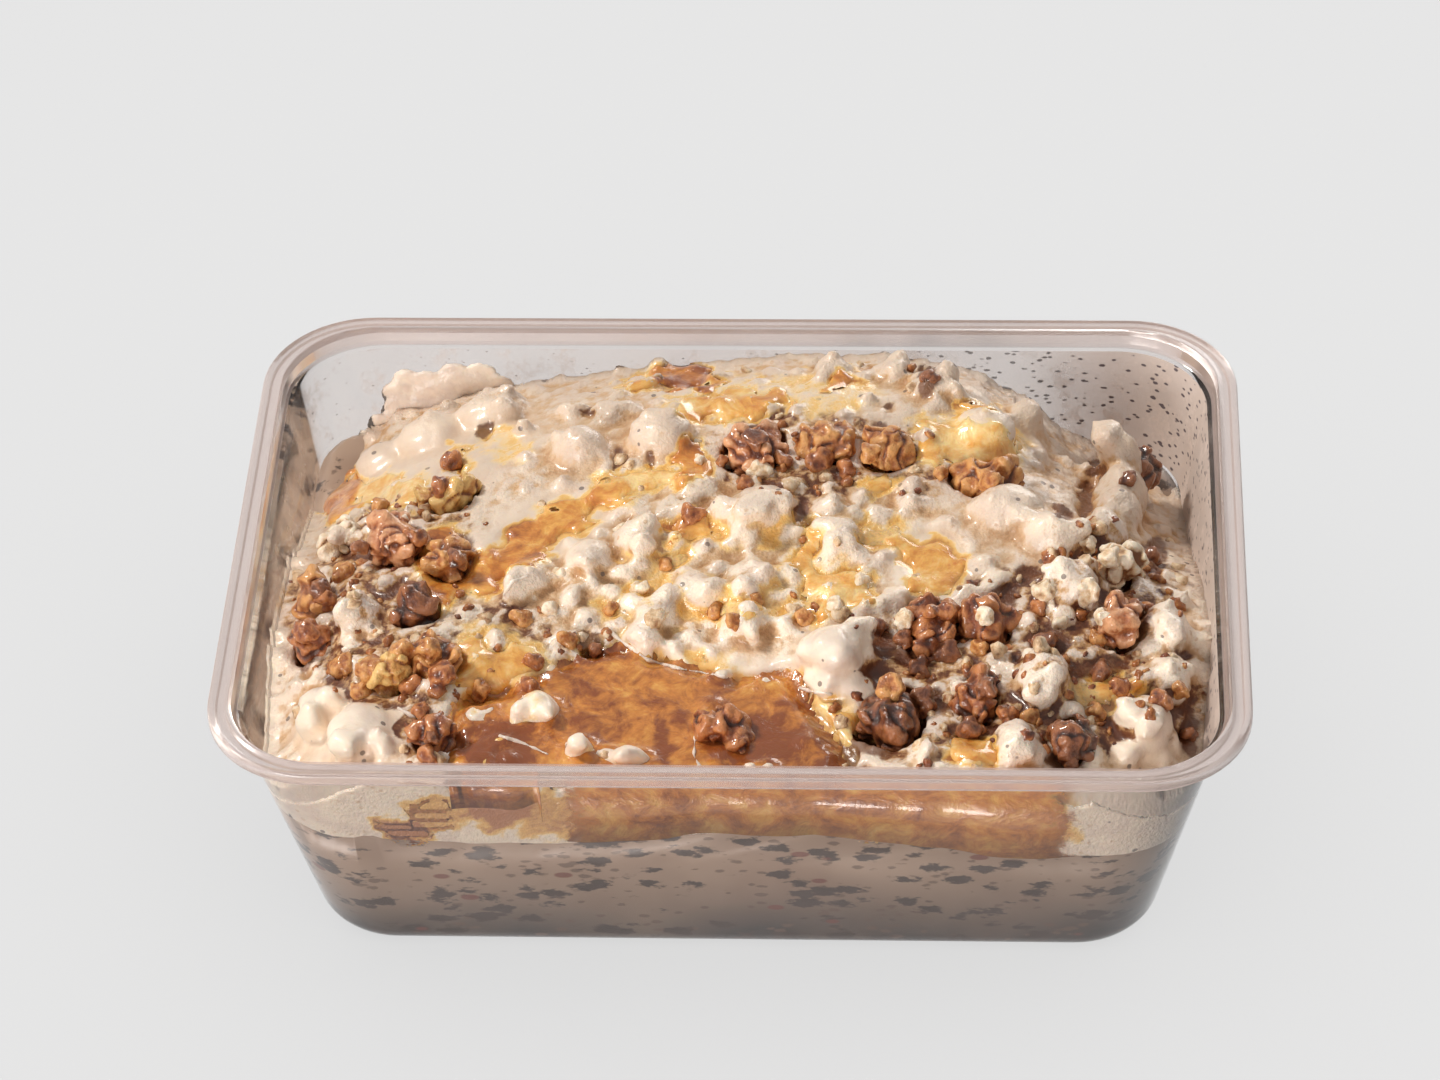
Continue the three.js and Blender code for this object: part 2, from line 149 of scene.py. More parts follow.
class Shader:
    """One material, built from nodes."""

    def __init__(self, name: str) -> None:
        """Starts an empty material."""
        self.material = bpy.data.materials.new(name)
        self.material.use_nodes = True
        self.tree = self.material.node_tree
        self.tree.nodes.clear()
        self._place: Socket | None = None

    def node(
        self,
        kind: str,
        settings: dict[str, object] | None = None,
        inputs: dict[str | int, object] | None = None,
        output: str | int = 0,
    ) -> Socket:
        """Adds a node.

        Args:
            kind: The node's type.
            settings: Its own settings, and a ramp's stops under "stops".
            inputs: A value or a link for each socket that is set.
            output: The output that is handed back.

        Returns:
            The chosen output.
        """
        made = self.tree.nodes.new(kind)
        for key, value in (settings or {}).items():
            if key == "stops":
                self._stops(made.color_ramp, value)
            else:
                setattr(made, key, value)
        for key, value in (inputs or {}).items():
            socket = made.inputs[key]
            if isinstance(value, Socket):
                self.tree.links.new(value.output, socket)
            elif isinstance(value, tuple) and len(value) == 3 and socket.type == "RGBA":
                socket.default_value = (*value, 1.0)
            else:
                socket.default_value = value
        return Socket(self, made.outputs[output])

    @staticmethod
    def _stops(ramp: bpy.types.ColorRamp, stops: list[tuple[float, Colour]]) -> None:
        """Gives a ramp its stops, from the lowest to the highest."""
        for number, (place, colour) in enumerate(stops):
            if number < 2:
                element = ramp.elements[number]
                element.position = place
            else:
                element = ramp.elements.new(place)
            element.color = (*colour, 1.0)

    @property
    def place(self) -> Socket:
        """Place on the object, in metres."""
        if self._place is None:
            self._place = self.node("ShaderNodeTexCoord", output="Object")
        return self._place

    def along(self, axis: str) -> Socket:
        """Place on the object along one axis, in metres."""
        return self.node("ShaderNodeSeparateXYZ", None, {0: self.place}, axis)

    def attribute(self, name: str) -> Socket:
        """Value that the mesh carries at each of its points."""
        return self.node("ShaderNodeAttribute", {"attribute_name": name}, output="Fac")

    def stretched(self, scale: Colour) -> Socket:
        """Place on the object, scaled along each axis."""
        return self.node(
            "ShaderNodeVectorMath", {"operation": "MULTIPLY"}, {0: self.place, 1: scale}
        )

    def noise(
        self,
        size: float,
        detail: float = 2.0,
        rough: float = 0.5,
        warp: float = 0.0,
        where: Socket | None = None,
    ) -> Socket:
        """Soft noise.

        Args:
            size: Width of its blotches, in metres.
            detail: Number of finer layers.
            rough: Strength of the finer layers.
            warp: Distortion.
            where: Place that it reads, when it isn't the plain one.

        Returns:
            A value around 0.5.
        """
        return self.node(
            "ShaderNodeTexNoise",
            None,
            {
                "Vector": where or self.place,
                "Scale": 1 / size,
                "Detail": detail,
                "Roughness": rough,
                "Distortion": warp,
            },
        )

    def cells(
        self, size: float, where: Socket | None = None, output: str = "Distance"
    ) -> Socket:
        """Distance to the nearest of many scattered points, or another output of the cells."""
        return self.node(
            "ShaderNodeTexVoronoi",
            None,
            {"Vector": where or self.place, "Scale": 1 / size},
            output,
        )

    def ramp(self, value: Socket, stops: list[tuple[float, Colour]]) -> Socket:
        """Colour for a value, through stops."""
        return self.node("ShaderNodeValToRGB", {"stops": stops}, {"Fac": value}, "Color")

    def mix(
        self, share: Socket | float, first: Socket | Colour, second: Socket | Colour
    ) -> Socket:
        """Blend of two colours.

        Args:
            share: 0 for the first colour, 1 for the second.
            first: One colour.
            second: The other colour.

        Returns:
            The blended colour.
        """
        return self.node(
            "ShaderNodeMix", {"data_type": "RGBA"}, {0: share, 6: first, 7: second}, 2
        )

    def bump(self, height: Socket, depth: float, strength: float = 1.0) -> Socket:
        """Normal that follows a height, which is worth the depth in metres."""
        return self.node(
            "ShaderNodeBump",
            None,
            {"Strength": strength, "Distance": depth, "Height": height},
        )

    def principled(self, inputs: dict[str | int, object]) -> Socket:
        """Principled shader."""
        return self.node("ShaderNodeBsdfPrincipled", None, inputs)

    def blend(self, share: Socket | float, first: Socket, second: Socket) -> Socket:
        """Mix of two shaders."""
        return self.node(
            "ShaderNodeMixShader", None, {0: share, 1: first, 2: second}
        )

    def finish(self, surface: Socket, volume: Socket | None = None) -> bpy.types.Material:
        """Links the surface and the volume, and hands back the material."""
        inputs = {"Surface": surface}
        if volume:
            inputs["Volume"] = volume
        kind = self.tree.nodes.new("ShaderNodeOutputMaterial")
        for key, value in inputs.items():
            self.tree.links.new(value.output, kind.inputs[key])
        return self.material

    def let_light_in(self, surface: Socket, tint: Colour) -> Socket:
        """Lets lamps shine straight through a clear piece, so what is under it stays lit."""
        ray = self.node("ShaderNodeLightPath", output="Is Shadow Ray")
        clear = self.node("ShaderNodeBsdfTransparent", None, {"Color": tint})
        return self.blend(ray, surface, clear)


# Finishes


@dataclass(frozen=True)
class ClearPlastic:
    """Slightly hazy clear plastic with a warm grey cast."""

    name: str = "clear_plastic"
    tint: Colour = (0.93, 0.885, 0.865)
    haze: Colour = shade(214, 192, 184)
    haze_share: float = 0.01
    clouding: float = 0.03
    roughness: float = 0.03

    def material(self) -> bpy.types.Material:
        """Makes the material."""
        shader = Shader(self.name)
        wear = shader.noise(6 * MM, 3)
        clear = shader.principled(
            {
                "Base Color": self.tint,
                "Roughness": wear.smooth(0.2, 0.8) * 0.04 + self.roughness,
                "IOR": 1.49,
                "Transmission Weight": 1.0,
            }
        )
        haze = shader.principled(
            {"Base Color": self.haze, "Roughness": 0.35, "IOR": 1.49}
        )
        cloud = shader.noise(14 * MM, 3).smooth(0.3, 0.7) * self.clouding + self.haze_share
        return shader.finish(
            shader.let_light_in(shader.blend(cloud, clear, haze), (0.96, 0.94, 0.93))
        )


@dataclass(frozen=True)
class MilkFilm:
    """Milk that dried on the wall in clouds, with grains stuck in it, clear in between."""

    milk: Colour = shade(222, 206, 196)
    grain: Colour = shade(104, 94, 98)
    # tan is a painted reflection of the food in the left wall.
    tan: Colour = shade(196, 160, 130)
    front: float = -30 * MM
    dense_from: float = -10 * MM
    dense_to: float = 50 * MM

    def material(self) -> bpy.types.Material:
        """Makes the material."""
        shader = Shader("milk_film")
        wide = shader.stretched((1.0, 1.0, 2.2))
        ragged = shader.noise(1.2 * MM, 3, 0.6)
        cloud = shader.noise(6 * MM, 4, 0.62)
        dense = shader.along("X").smooth(self.dense_from, self.dense_to) * 0.14
        specks = (dense + (ragged - 0.5) * 0.5 + 0.13 - shader.cells(2.3 * MM, wide)).smooth(0.0, 0.1)
        splash = (cloud + (ragged - 0.5) * 0.3).smooth(0.5, 0.72)
        behind = shader.along("Y").smooth(self.front, self.front + 20 * MM)
        left = 1 - shader.along("X").smooth(-74 * MM, -66 * MM)
        right = shader.along("X").smooth(44 * MM, 78 * MM)
        # On the left wall the milk takes some tan: a painted reflection of the food in the wall.
        colour = shader.mix(
            specks, shader.mix(left * cloud.smooth(0.45, 0.6) * 0.2, self.milk, self.tan), self.grain
        )
        thicker = shader.along("X").smooth(-60 * MM, 10 * MM)
        film = splash * 0.16 + specks * 0.4 + 0.02 + thicker * 0.1 + right * 0.65
        alpha = film * behind.most(left * 0.7).most(right * 0.9)
        return shader.finish(
            shader.principled({"Base Color": colour, "Roughness": 0.5, "Alpha": alpha})
        )


@dataclass(frozen=True)
class WallCream:
    """Thin cream smeared on the wall, grey where the wall shows through."""

    cream: Colour = shade(244, 230, 214)
    thin: Colour = shade(222, 206, 194)

    def material(self) -> bpy.types.Material:
        """Makes the material."""
        shader = Shader("wall_cream")
        cloud = shader.noise(6 * MM, 3)
        return shader.finish(
            shader.principled(
                {
                    "Base Color": shader.mix(cloud.smooth(0.35, 0.65), self.cream, self.thin),
                    "Roughness": 0.4,
                    "Subsurface Weight": 0.2,
                    "Subsurface Radius": (1.0, 0.7, 0.5),
                    "Subsurface Scale": 1.0 * MM,
                    "Normal": shader.bump(shader.noise(1.5 * MM, 2), 0.3 * MM),
                }
            )
        )


@dataclass(frozen=True)
class MilkPudding:
    """Smooth milky pudding full of soaked dark grains, with painted shade that darkens it towards the bottom, and
    darker towards the right end.
    """

    base: Colour = shade(182, 157, 137)
    deep: Colour = shade(160, 133, 114)
    painted_shade: Colour = shade(26, 16, 10)
    grain: Colour = shade(48, 28, 17)
    grain_soft: Colour = shade(98, 73, 57)
    russet: Colour = shade(112, 48, 33)
    painted_shade_to: float = 26 * MM
    side_from: float = 20 * MM
    side_to: float = 85 * MM

    def material(self) -> bpy.types.Material:
        """Makes the material."""
        shader = Shader("milk_pudding")
        wide = shader.stretched((0.62, 0.62, 1.25))
        ragged = shader.noise(1.3 * MM, 3, 0.6, 0.0, wide)
        clusters = shader.noise(9 * MM, 2)
        large = shader.cells(4.3 * MM, wide)
        small = shader.cells(2.3 * MM, wide)
        room = clusters * 0.36 + (ragged - 0.5) * 0.85
        blots = (room + 0.2 - large).smooth(-0.03, 0.13)
        spots = ((clusters - 0.5) * 0.6 + (ragged - 0.5) * 0.6 + 0.27 - small).smooth(-0.02, 0.12)
        milky = shader.mix(shader.noise(20 * MM, 3).smooth(0.3, 0.75), self.base, self.deep)
        # Painted shade: darker towards the bottom, with a blotchy patch near it; the right end is darkened with
        # the same colour.
        low = 1 - shader.along("Z").smooth(0.0, self.painted_shade_to)
        shade_patch = (shader.noise(26 * MM, 2) - 0.5) * low * 1.2
        side = shader.along("X").smooth(self.side_from, self.side_to) * 0.32
        dim = shader.mix(low**1.2 + shade_patch + side * (1 - low), milky, self.painted_shade)
        speckled = shader.mix(spots * 0.75, dim, self.grain_soft)
        dark = shader.mix(blots * 0.95, speckled, self.grain)
        red = (0.13 - shader.cells(9 * MM, wide)).smooth(0.0, 0.04)
        colour = shader.mix(red * 0.8, dark, self.russet)
        return shader.finish(
            shader.principled(
                {
                    "Base Color": colour,
                    "Roughness": 0.42,
                    "Subsurface Weight": 0.15,
                    "Subsurface Radius": (1.0, 0.7, 0.5),
                    "Subsurface Scale": 1.2 * MM,
                    "Coat Weight": 0.25,
                    "Coat Roughness": 0.2,
                }
            )
        )


@dataclass(frozen=True)
class Cream:
    """Thick cream, tinted where honey soaks it and where crumbs lie in it, with painted shade in its hollows, in
    its dark spots and towards its back.
    """

    white: Colour = shade(248, 232, 212)
    cool: Colour = shade(232, 214, 198)
    painted_back_shade: Colour = shade(190, 160, 134)
    # shaded and sunk are painted shade for the hollows, partly the brown of honey and nut in the creases.
    shaded: Colour = shade(206, 164, 114)
    sunk: Colour = shade(174, 124, 76)
    tan: Colour = shade(198, 156, 108)
    brown: Colour = shade(120, 72, 40)
    # gap is the dark brown of the dark spots: partly nut skin and soaked crevices, partly painted shade.
    gap: Colour = shade(92, 46, 20)
    pale_honey: Colour = shade(250, 218, 152)
    honey: Colour = shade(236, 182, 92)
    deep_honey: Colour = shade(176, 102, 32)
    seed: Colour = shade(92, 78, 74)

    def material(self) -> bpy.types.Material:
        """Makes the material."""
        shader = Shader("cream")
        soak = shader.attribute("honey")
        crumb = shader.attribute("crumb")
        hollow = shader.attribute("hollow")
        fine = shader.noise(1.2 * MM, 3, 0.6)
        wide = shader.noise(7 * MM, 3, 0.55, 0.6)
        busy = 1 - shader.attribute("calm") * 0.8
        plain = shader.mix(wide.smooth(0.35, 0.7), self.white, self.cool)
        # The cream darkens towards the back: painted shade.
        base = shader.mix(shader.along("Y").smooth(-28 * MM, 30 * MM) * 0.45, plain, self.painted_back_shade)
        # The hollows are painted darker: painted shade, partly honey and nut in the creases.
        depth = hollow + (fine - 0.5) * busy * 0.5 + (wide - 0.5) * 0.35
        hollow_shaded = shader.mix(depth.smooth(0.42, 0.72) * busy * 0.8, base, self.shaded)
        deep_hollow_shaded = shader.mix(depth.smooth(0.66, 0.95) * busy * 0.8, hollow_shaded, self.sunk)
        flecks = (0.3 - shader.cells(1.9 * MM)).smooth(0.0, 0.12)
        tanned = shader.mix(flecks * fine.smooth(0.4, 0.65) * busy * 0.6, deep_hollow_shaded, self.tan)
        seeds = (0.12 - shader.cells(4.6 * MM)).smooth(0.0, 0.03)
        seeded = shader.mix(seeds * 0.75, tanned, self.seed)
        streak = shader.noise(3.2 * MM, 4, 0.65, 1.6)
        grit = crumb + (streak - 0.5) * 0.9 + (hollow - 0.5) * 0.6
        # Crumbs are darker in the hollows, part of the painted shade.
        crumbed = shader.mix(
            grit.smooth(0.25, 0.6) * crumb.smooth(0.05, 0.3),
            seeded,
            shader.ramp(
                shader.noise(2.1 * MM, 3, 0.6) - (hollow - 0.5) * 0.6,
                [(0.3, self.gap), (0.42, self.brown), (0.56, self.tan), (0.72, self.cool)],
            ),
        )
        level = soak + ((streak - 0.5) * 0.8 + (hollow - 0.5) * 0.7) * soak.smooth(0.0, 0.3)
        gold = shader.ramp(
            level,
            [(0.2, self.pale_honey), (0.6, self.honey), (1.1, self.deep_honey)],
        )
        honeyed = shader.mix(level.smooth(0.05, 0.45) * 0.92, crumbed, gold)
        # Dark spots painted dark brown: partly nut skin and soaked crevices, partly painted shade.
        gap = (shader.attribute("dark") + (streak - 0.5) * 0.7).smooth(0.3, 0.85)
        colour = shader.mix(gap * 0.85, honeyed, shader.mix(wide, self.gap, self.brown))
        relief = (fine * 0.5 + shader.noise(0.6 * MM, 2) * 0.35) * busy
        return shader.finish(
            shader.principled(
                {
                    "Base Color": colour,
                    "Roughness": 0.48 - level.smooth(0.1, 0.5) * 0.28,
                    "Subsurface Weight": 0.2,
                    "Subsurface Radius": (1.0, 0.65, 0.4),
                    "Subsurface Scale": 1.2 * MM,
                    "Coat Weight": level.smooth(0.1, 0.5) * 0.5 + 0.4,
                    "Coat Roughness": 0.17,
                    "Normal": shader.bump(relief, 0.45 * MM),
                }
            )
        )


@dataclass(frozen=True)
class Walnut:
    """Broken walnut: pale broken faces, brown skin in the folds."""

    name: str
    pale: Colour
    middle: Colour
    skin: Colour
    gloss: float = 0.4

    def material(self) -> bpy.types.Material:
        """Makes the material."""
        shader = Shader(self.name)
        fold = shader.attribute("relief")
        fine = shader.noise(0.8 * MM, 3, 0.65)
        patch = shader.noise(3.2 * MM, 3, 0.6, 0.8)
        level = fold * 0.75 + fine * 0.5 + patch * 0.7 - 0.5
        colour = shader.ramp(
            level, [(0.2, self.skin), (0.48, self.middle), (0.75, self.pale)]
        )
        return shader.finish(
            shader.principled(
                {
                    "Base Color": colour,
                    "Roughness": 0.45,
                    "Subsurface Weight": 0.1,
                    "Subsurface Radius": (1.0, 0.5, 0.25),
                    "Subsurface Scale": 1.0 * MM,
                    "Coat Weight": self.gloss,
                    "Coat Roughness": 0.1,
                    "Normal": shader.bump(fine, 0.4 * MM),
                }
            )
        )


class WalnutLook(Enum):
    """How the walnut pieces differ in colour."""

    PALE = Walnut("walnut_pale", shade(228, 188, 118), shade(196, 138, 70), shade(138, 78, 30))
    TAN = Walnut("walnut_tan", shade(212, 154, 92), shade(166, 98, 46), shade(92, 44, 14))
    PINK = Walnut("walnut_pink", shade(218, 160, 116), shade(174, 104, 60), shade(98, 44, 18), 0.6)
    RED = Walnut("walnut_red", shade(190, 122, 70), shade(134, 68, 31), shade(72, 30, 11), 0.7)
    DARK = Walnut("walnut_dark", shade(156, 96, 56), shade(104, 52, 24), shade(56, 24, 10), 0.9)
    COATED = Walnut("walnut_coated", shade(244, 228, 204), shade(222, 190, 150), shade(140, 88, 48), 0.3)


@dataclass(frozen=True)
class Honey:
    """Glossy honey on cream: golden where it is thin, amber where it is deep."""

    name: str = "honey"
    pale: Colour = shade(246, 214, 150)
    gold: Colour = shade(232, 174, 88)
    amber: Colour = shade(206, 132, 56)
    brown: Colour = shade(142, 74, 28)

    def material(self) -> bpy.types.Material:
        """Makes the material, thinned out by the attribute cover."""
        shader = Shader(self.name)
        cloud = shader.noise(5 * MM, 4, 0.66, 0.5)
        fine = shader.noise(1.6 * MM, 3, 0.6)
        level = shader.attribute("level") + (cloud - 0.5) * 1.4 + (fine - 0.5) * 0.45
        colour = shader.ramp(
            level,
            [(0.12, self.pale), (0.42, self.gold), (0.68, self.amber), (0.98, self.brown)],
        )
        ragged = (cloud - 0.5) * 0.8 + (fine - 0.5) * 0.5
        cover = (shader.attribute("cover") + ragged).smooth(0.25, 0.6)
        return shader.finish(
            shader.principled(
                {
                    "Base Color": colour,
                    "Roughness": 0.3,
                    "Subsurface Weight": 0.3,
                    "Subsurface Radius": (1.0, 0.5, 0.15),
                    "Subsurface Scale": 1.6 * MM,
                    "Coat Weight": 1.0,
                    "Coat Roughness": 0.06,
                    "Alpha": cover,
                    "Normal": shader.bump(cloud + fine * 0.15, 0.5 * MM),
                }
            )
        )


@dataclass(frozen=True)
class StudioFloor:
    """Plain pale floor."""

    colour: Colour = shade(170, 170, 170)

    def material(self) -> bpy.types.Material:
        """Makes the material."""
        shader = Shader("studio_floor")
        return shader.finish(
            shader.principled({"Base Color": self.colour, "Roughness": 0.9})
        )


# Camera


@dataclass(frozen=True)
class Lens:
    """The camera, and where a point lands in the 1440 by 1080 photograph."""

    focal: float = 5301.3
    distance: float = 0.90882
    elevation: float = 40.305
    azimuth: float = 3.92
    roll: float = -2.181
    target: Colour = (-0.003146, 0.0, 0.051261)
    width: int = 1440
    height: int = 1080
    film: float = 36.0

    def axes(self) -> tuple[Vector, Vector, Vector]:
        """Right, up and backward directions of the camera."""
        high = math.radians(self.elevation)
        turn = math.radians(self.azimuth)
        roll = math.radians(self.roll)
        back = Vector(
            (
                math.sin(turn) * math.cos(high),
                -math.cos(turn) * math.cos(high),
                math.sin(high),
            )
        )
        right = Vector((math.cos(turn), math.sin(turn), 0))
        up = back.cross(right)
        tilted = right * math.cos(roll) + up * math.sin(roll)
        return tilted, up * math.cos(roll) - right * math.sin(roll), back

    def eye(self) -> Vector:
        """Place of the camera."""
        return Vector(self.target) + self.axes()[2] * self.distance

    def project(self, points: np.ndarray) -> np.ndarray:
        """Photograph pixel and depth of each point.

        Args:
            points: One row for each point, in metres.

        Returns:
            One row for each point: across, down, and depth along the view.
        """
        right, up, back = self.axes()
        away = points - np.array(self.eye())
        depth = -(away @ np.array(back))
        across = self.width / 2 + self.focal * (away @ np.array(right)) / depth
        down = self.height / 2 - self.focal * (away @ np.array(up)) / depth
        return np.stack([across, down, depth], axis=1)

    def ray(self, across: float, down: float) -> Vector:
        """Direction from the camera through a photograph pixel."""
        right, up, back = self.axes()
        aim = (
            right * (across - self.width / 2)
            + up * (self.height / 2 - down)
            - back * self.focal
        )
        return aim.normalized()

    def build(self) -> bpy.types.Object:
        """Makes the camera."""
        data = bpy.data.cameras.new("camera")
        data.lens = self.focal / self.width * self.film
        data.sensor_width = self.film
        camera = bpy.data.objects.new("camera", data)
        bpy.context.scene.collection.objects.link(camera)
        right, up, back = self.axes()
        frame = Matrix((right, up, back)).transposed().to_4x4()
        camera.matrix_world = Matrix.Translation(self.eye()) @ frame
        bpy.context.scene.camera = camera
        return camera


@dataclass(frozen=True)
class Spot:
    """A place on the food, read off the photograph in pixels."""

    across: float
    down: float
    wide: float
    tall: float
    turn: float = 0.0
    value: float = 1.0

    def share(self, seen: np.ndarray, depth: float, soft: float = 0.35) -> np.ndarray:
        """How far each point is inside the spot.

        Args:
            seen: Photograph pixel and depth of each point.
            depth: Depth of the spot's middle along the view.
            soft: Width of its soft edge, as a share of its size.

        Returns:
            1 inside, falling to 0 over the edge, for each point.
        """
        turn = math.radians(self.turn)
        right = seen[:, 0] - self.across
        below = seen[:, 1] - self.down
        along = right * math.cos(turn) + below * math.sin(turn)
        over = below * math.cos(turn) - right * math.sin(turn)
        reach = np.sqrt((along / self.wide) ** 2 + (over / self.tall) ** 2)
        inside = np.clip((1 + soft - reach) / (2 * soft), 0, 1)
        near = np.abs(seen[:, 2] - depth) < DEPTH_REACH
        return inside * inside * (3 - 2 * inside) * near


DEPTH_REACH = 16 * MM


# The inside of the tub


@dataclass(frozen=True)
class Contour:
    """Plan shape of the tapered tub at each height, in metres."""

    base_length: float = 0.1427
    base_width: float = 0.095
    base_radius: float = 0.0139
    top_length: float = 0.1651
    top_width: float = 0.1148
    top_radius: float = 0.0169
    top: float = 0.0498
    rim_length: float = 0.173
    rim_width: float = 0.122
    rim_radius: float = 0.0188
    height: float = 0.052
    wall: float = 0.001
    crest: float = 0.0565

    def at(self, z: float | np.ndarray, inset: float) -> tuple:
        """Half length, half width and corner radius of the wall at a height."""
        share = z / self.top
        return (
            (self.base_length + (self.top_length - self.base_length) * share) / 2 - inset,
            (self.base_width + (self.top_width - self.base_width) * share) / 2 - inset,
            self.base_radius + (self.top_radius - self.base_radius) * share - inset,
        )

    def rim(self, inset: float) -> tuple[float, float, float]:
        """Half length, half width and corner radius of the rim."""
        return (
            self.rim_length / 2 - inset,
            self.rim_width / 2 - inset,
            self.rim_radius - inset,
        )

    def beyond(self, points: np.ndarray, inset: float) -> tuple[np.ndarray, np.ndarray]:
        """How far points lie outside the wall's face, and the way out.

        Args:
            points: One row for each point.
            inset: How far inside the outer face the tested face lies.

        Returns:
            The distance of each point, below 0 inside, and its outward direction in plan.
        """
        half_x, half_y, radius = self.at(points[:, 2], inset)
        across = np.abs(points[:, 0]) - (half_x - radius)
        along = np.abs(points[:, 1]) - (half_y - radius)
        corner = np.hypot(np.maximum(across, 0), np.maximum(along, 0))
        distance = corner + np.minimum(np.maximum(across, along), 0) - radius
        out = np.zeros((len(points), 2))
        both = (across > 0) & (along > 0)
        safe = np.maximum(corner, 1e-9)
        flat_x = ~both & (across > along)
        flat_y = ~both & ~flat_x
        out[:, 0] = np.where(both, across / safe, np.where(flat_x, 1.0, 0.0))
        out[:, 1] = np.where(both, along / safe, np.where(flat_y, 1.0, 0.0))
        return distance, out * np.sign(points[:, :2])

    def press(
        self, points: np.ndarray, reach: float | np.ndarray, near: float
    ) -> np.ndarray:
        """Presses food against the inside of the wall.

        Args:
            points: One row for each point.
            reach: How far the food reaches into the wall, so that no air shows.
            near: Distance from the wall within which food sticks to it.

        Returns:
            The points, none beyond the face that the food reaches to.
        """
        distance, out = self.beyond(points, self.wall - reach)
        move = np.where(distance > -near, distance, 0.0)
        pressed = points.copy()
        pressed[:, :2] -= out * move[:, None]
        pressed[:, 2] -= np.maximum(points[:, 2] - self.crest, 0) * 0.75
        return pressed


CONTOUR = Contour()


# Mesh helpers


def merged(source: bpy.types.Object) -> bmesh.types.BMesh:
    """Copy of a CAD node with its loose triangles joined."""
    mesh = bmesh.new()
    mesh.from_mesh(source.data)
    bmesh.ops.remove_doubles(mesh, verts=mesh.verts, dist=1e-6)
    return mesh


def points_of(mesh: bpy.types.Mesh) -> np.ndarray:
    """Places of a mesh's points, one row each."""
    flat = np.zeros(len(mesh.vertices) * 3, np.float32)
    mesh.vertices.foreach_get("co", flat)
    return flat.reshape(-1, 3).astype(float)


def normals_of(mesh: bpy.types.Mesh) -> np.ndarray:
    """Outward directions at a mesh's points, one row each."""
    flat = np.zeros(len(mesh.vertices) * 3, np.float32)
    mesh.vertex_normals.foreach_get("vector", flat)
    return flat.reshape(-1, 3).astype(float)


def move_points(mesh: bpy.types.Mesh, points: np.ndarray) -> None:
    """Puts a mesh's points at new places."""
    mesh.vertices.foreach_set("co", points.astype(np.float32).ravel())
    mesh.update()


def write_value(mesh: bpy.types.Mesh, name: str, values: np.ndarray) -> None:
    """Gives each point of a mesh a named value."""
    attribute = mesh.attributes.new(name, "FLOAT", "POINT")
    attribute.data.foreach_set("value", values.astype(np.float32))


def swell(points: np.ndarray, size: float, layers: int, shift: float = 0.0) -> np.ndarray:
    """Soft noise at each point.

    Args:
        points: One row for each point.
        size: Width of its waves, in metres.
        layers: Number of finer layers.
        shift: Moves the pattern, so that two patterns differ.

    Returns:
        A value from about -1 to 1 for each point.
    """
    scaled = points / size + shift
    return np.array([noise.fractal(Vector(row), 1.0, 2.0, layers) for row in scaled])


def new_piece(name: str, mesh: bmesh.types.BMesh, material: bpy.types.Material) -> bpy.types.Object:
    """Makes a smooth-shaded piece.

    Args:
        name: Name of the piece.
        mesh: Its shape, which is freed.
        material: Its material.

    Returns:
        The piece.
    """
    data = bpy.data.meshes.new(name)
    mesh.to_mesh(data)
    mesh.free()
    data.materials.append(material)
    piece = bpy.data.objects.new(name, data)
    bpy.context.scene.collection.objects.link(piece)
    data.shade_smooth()
    return piece


def remeshed(piece: bpy.types.Object, voxel: float) -> None:
    """Rebuilds a piece's skin as one even mesh."""
    modifier = piece.modifiers.new("skin", "REMESH")
    modifier.mode = "VOXEL"
    modifier.voxel_size = voxel
    modifier.use_smooth_shade = True
    graph = bpy.context.evaluated_depsgraph_get()
    made = bpy.data.meshes.new_from_object(piece.evaluated_get(graph))
    materials = list(piece.data.materials)
    piece.modifiers.clear()
    old = piece.data
    piece.data = made
    made.name = piece.name
    made.materials.clear()
    for material in materials:
        made.materials.append(material)
    bpy.data.meshes.remove(old)
    made.shade_smooth()


def relaxed(data: bpy.types.Mesh, points: np.ndarray, rounds: int) -> np.ndarray:
    """Smooths places on a mesh.

    Args:
        data: The mesh, whose edges say which points are neighbours.
        points: Place of each of its points.
        rounds: How often each point moves halfway to its neighbours' middle.

    Returns:
        The smoothed places.
    """
    ends = np.zeros(len(data.edges) * 2, np.int32)
    data.edges.foreach_get("vertices", ends)
    first, second = ends[0::2], ends[1::2]
    count = len(points)
    degree = np.bincount(ends, minlength=count)[:, None]
    for _ in range(rounds):
        total = [
            np.bincount(first, points[second, axis], count)
            + np.bincount(second, points[first, axis], count)
            for axis in range(3)
        ]
        points = (points + np.stack(total, axis=1) / degree) / 2
    return points


def hollows(data: bpy.types.Mesh, points: np.ndarray, rounds: int, scale: float) -> np.ndarray:
    """How deep each point lies in a hollow.

    Args:
        data: The mesh.
        points: Place of each of its points.
        rounds: Rounds of smoothing, which set how wide a hollow may be.
        scale: Depth that counts as one, in metres.

    Returns:
        A value above 0 in hollows and below 0 on ridges, for each point.
    """
    sunk = relaxed(data, points, rounds) - points
    return np.sum(sunk * normals_of(data), axis=1) / scale


def lump(
    mesh: bmesh.types.BMesh, centre: Vector, half: Vector, turn: Euler, detail: int
) -> list[bmesh.types.BMVert]:
    """Adds a rounded lump.

    Args:
        mesh: The mesh that it is added to.
        centre: Its middle.
        half: Its half sizes.
        turn: How it is turned.
        detail: How finely it is divided.

    Returns:
        The points of the lump.
    """
    place = Matrix.Translation(centre) @ turn.to_matrix().to_4x4() @ Matrix.Diagonal((*half, 1))
    return bmesh.ops.create_icosphere(mesh, subdivisions=detail, radius=1, matrix=place)["verts"]


def surface_of(*pieces: bpy.types.Object) -> BVHTree:
    """Joined surface of several pieces, to aim at."""
    mesh = bmesh.new()
    for piece in pieces:
        mesh.from_mesh(piece.data)
    tree = BVHTree.FromBMesh(mesh)
    mesh.free()
    return tree


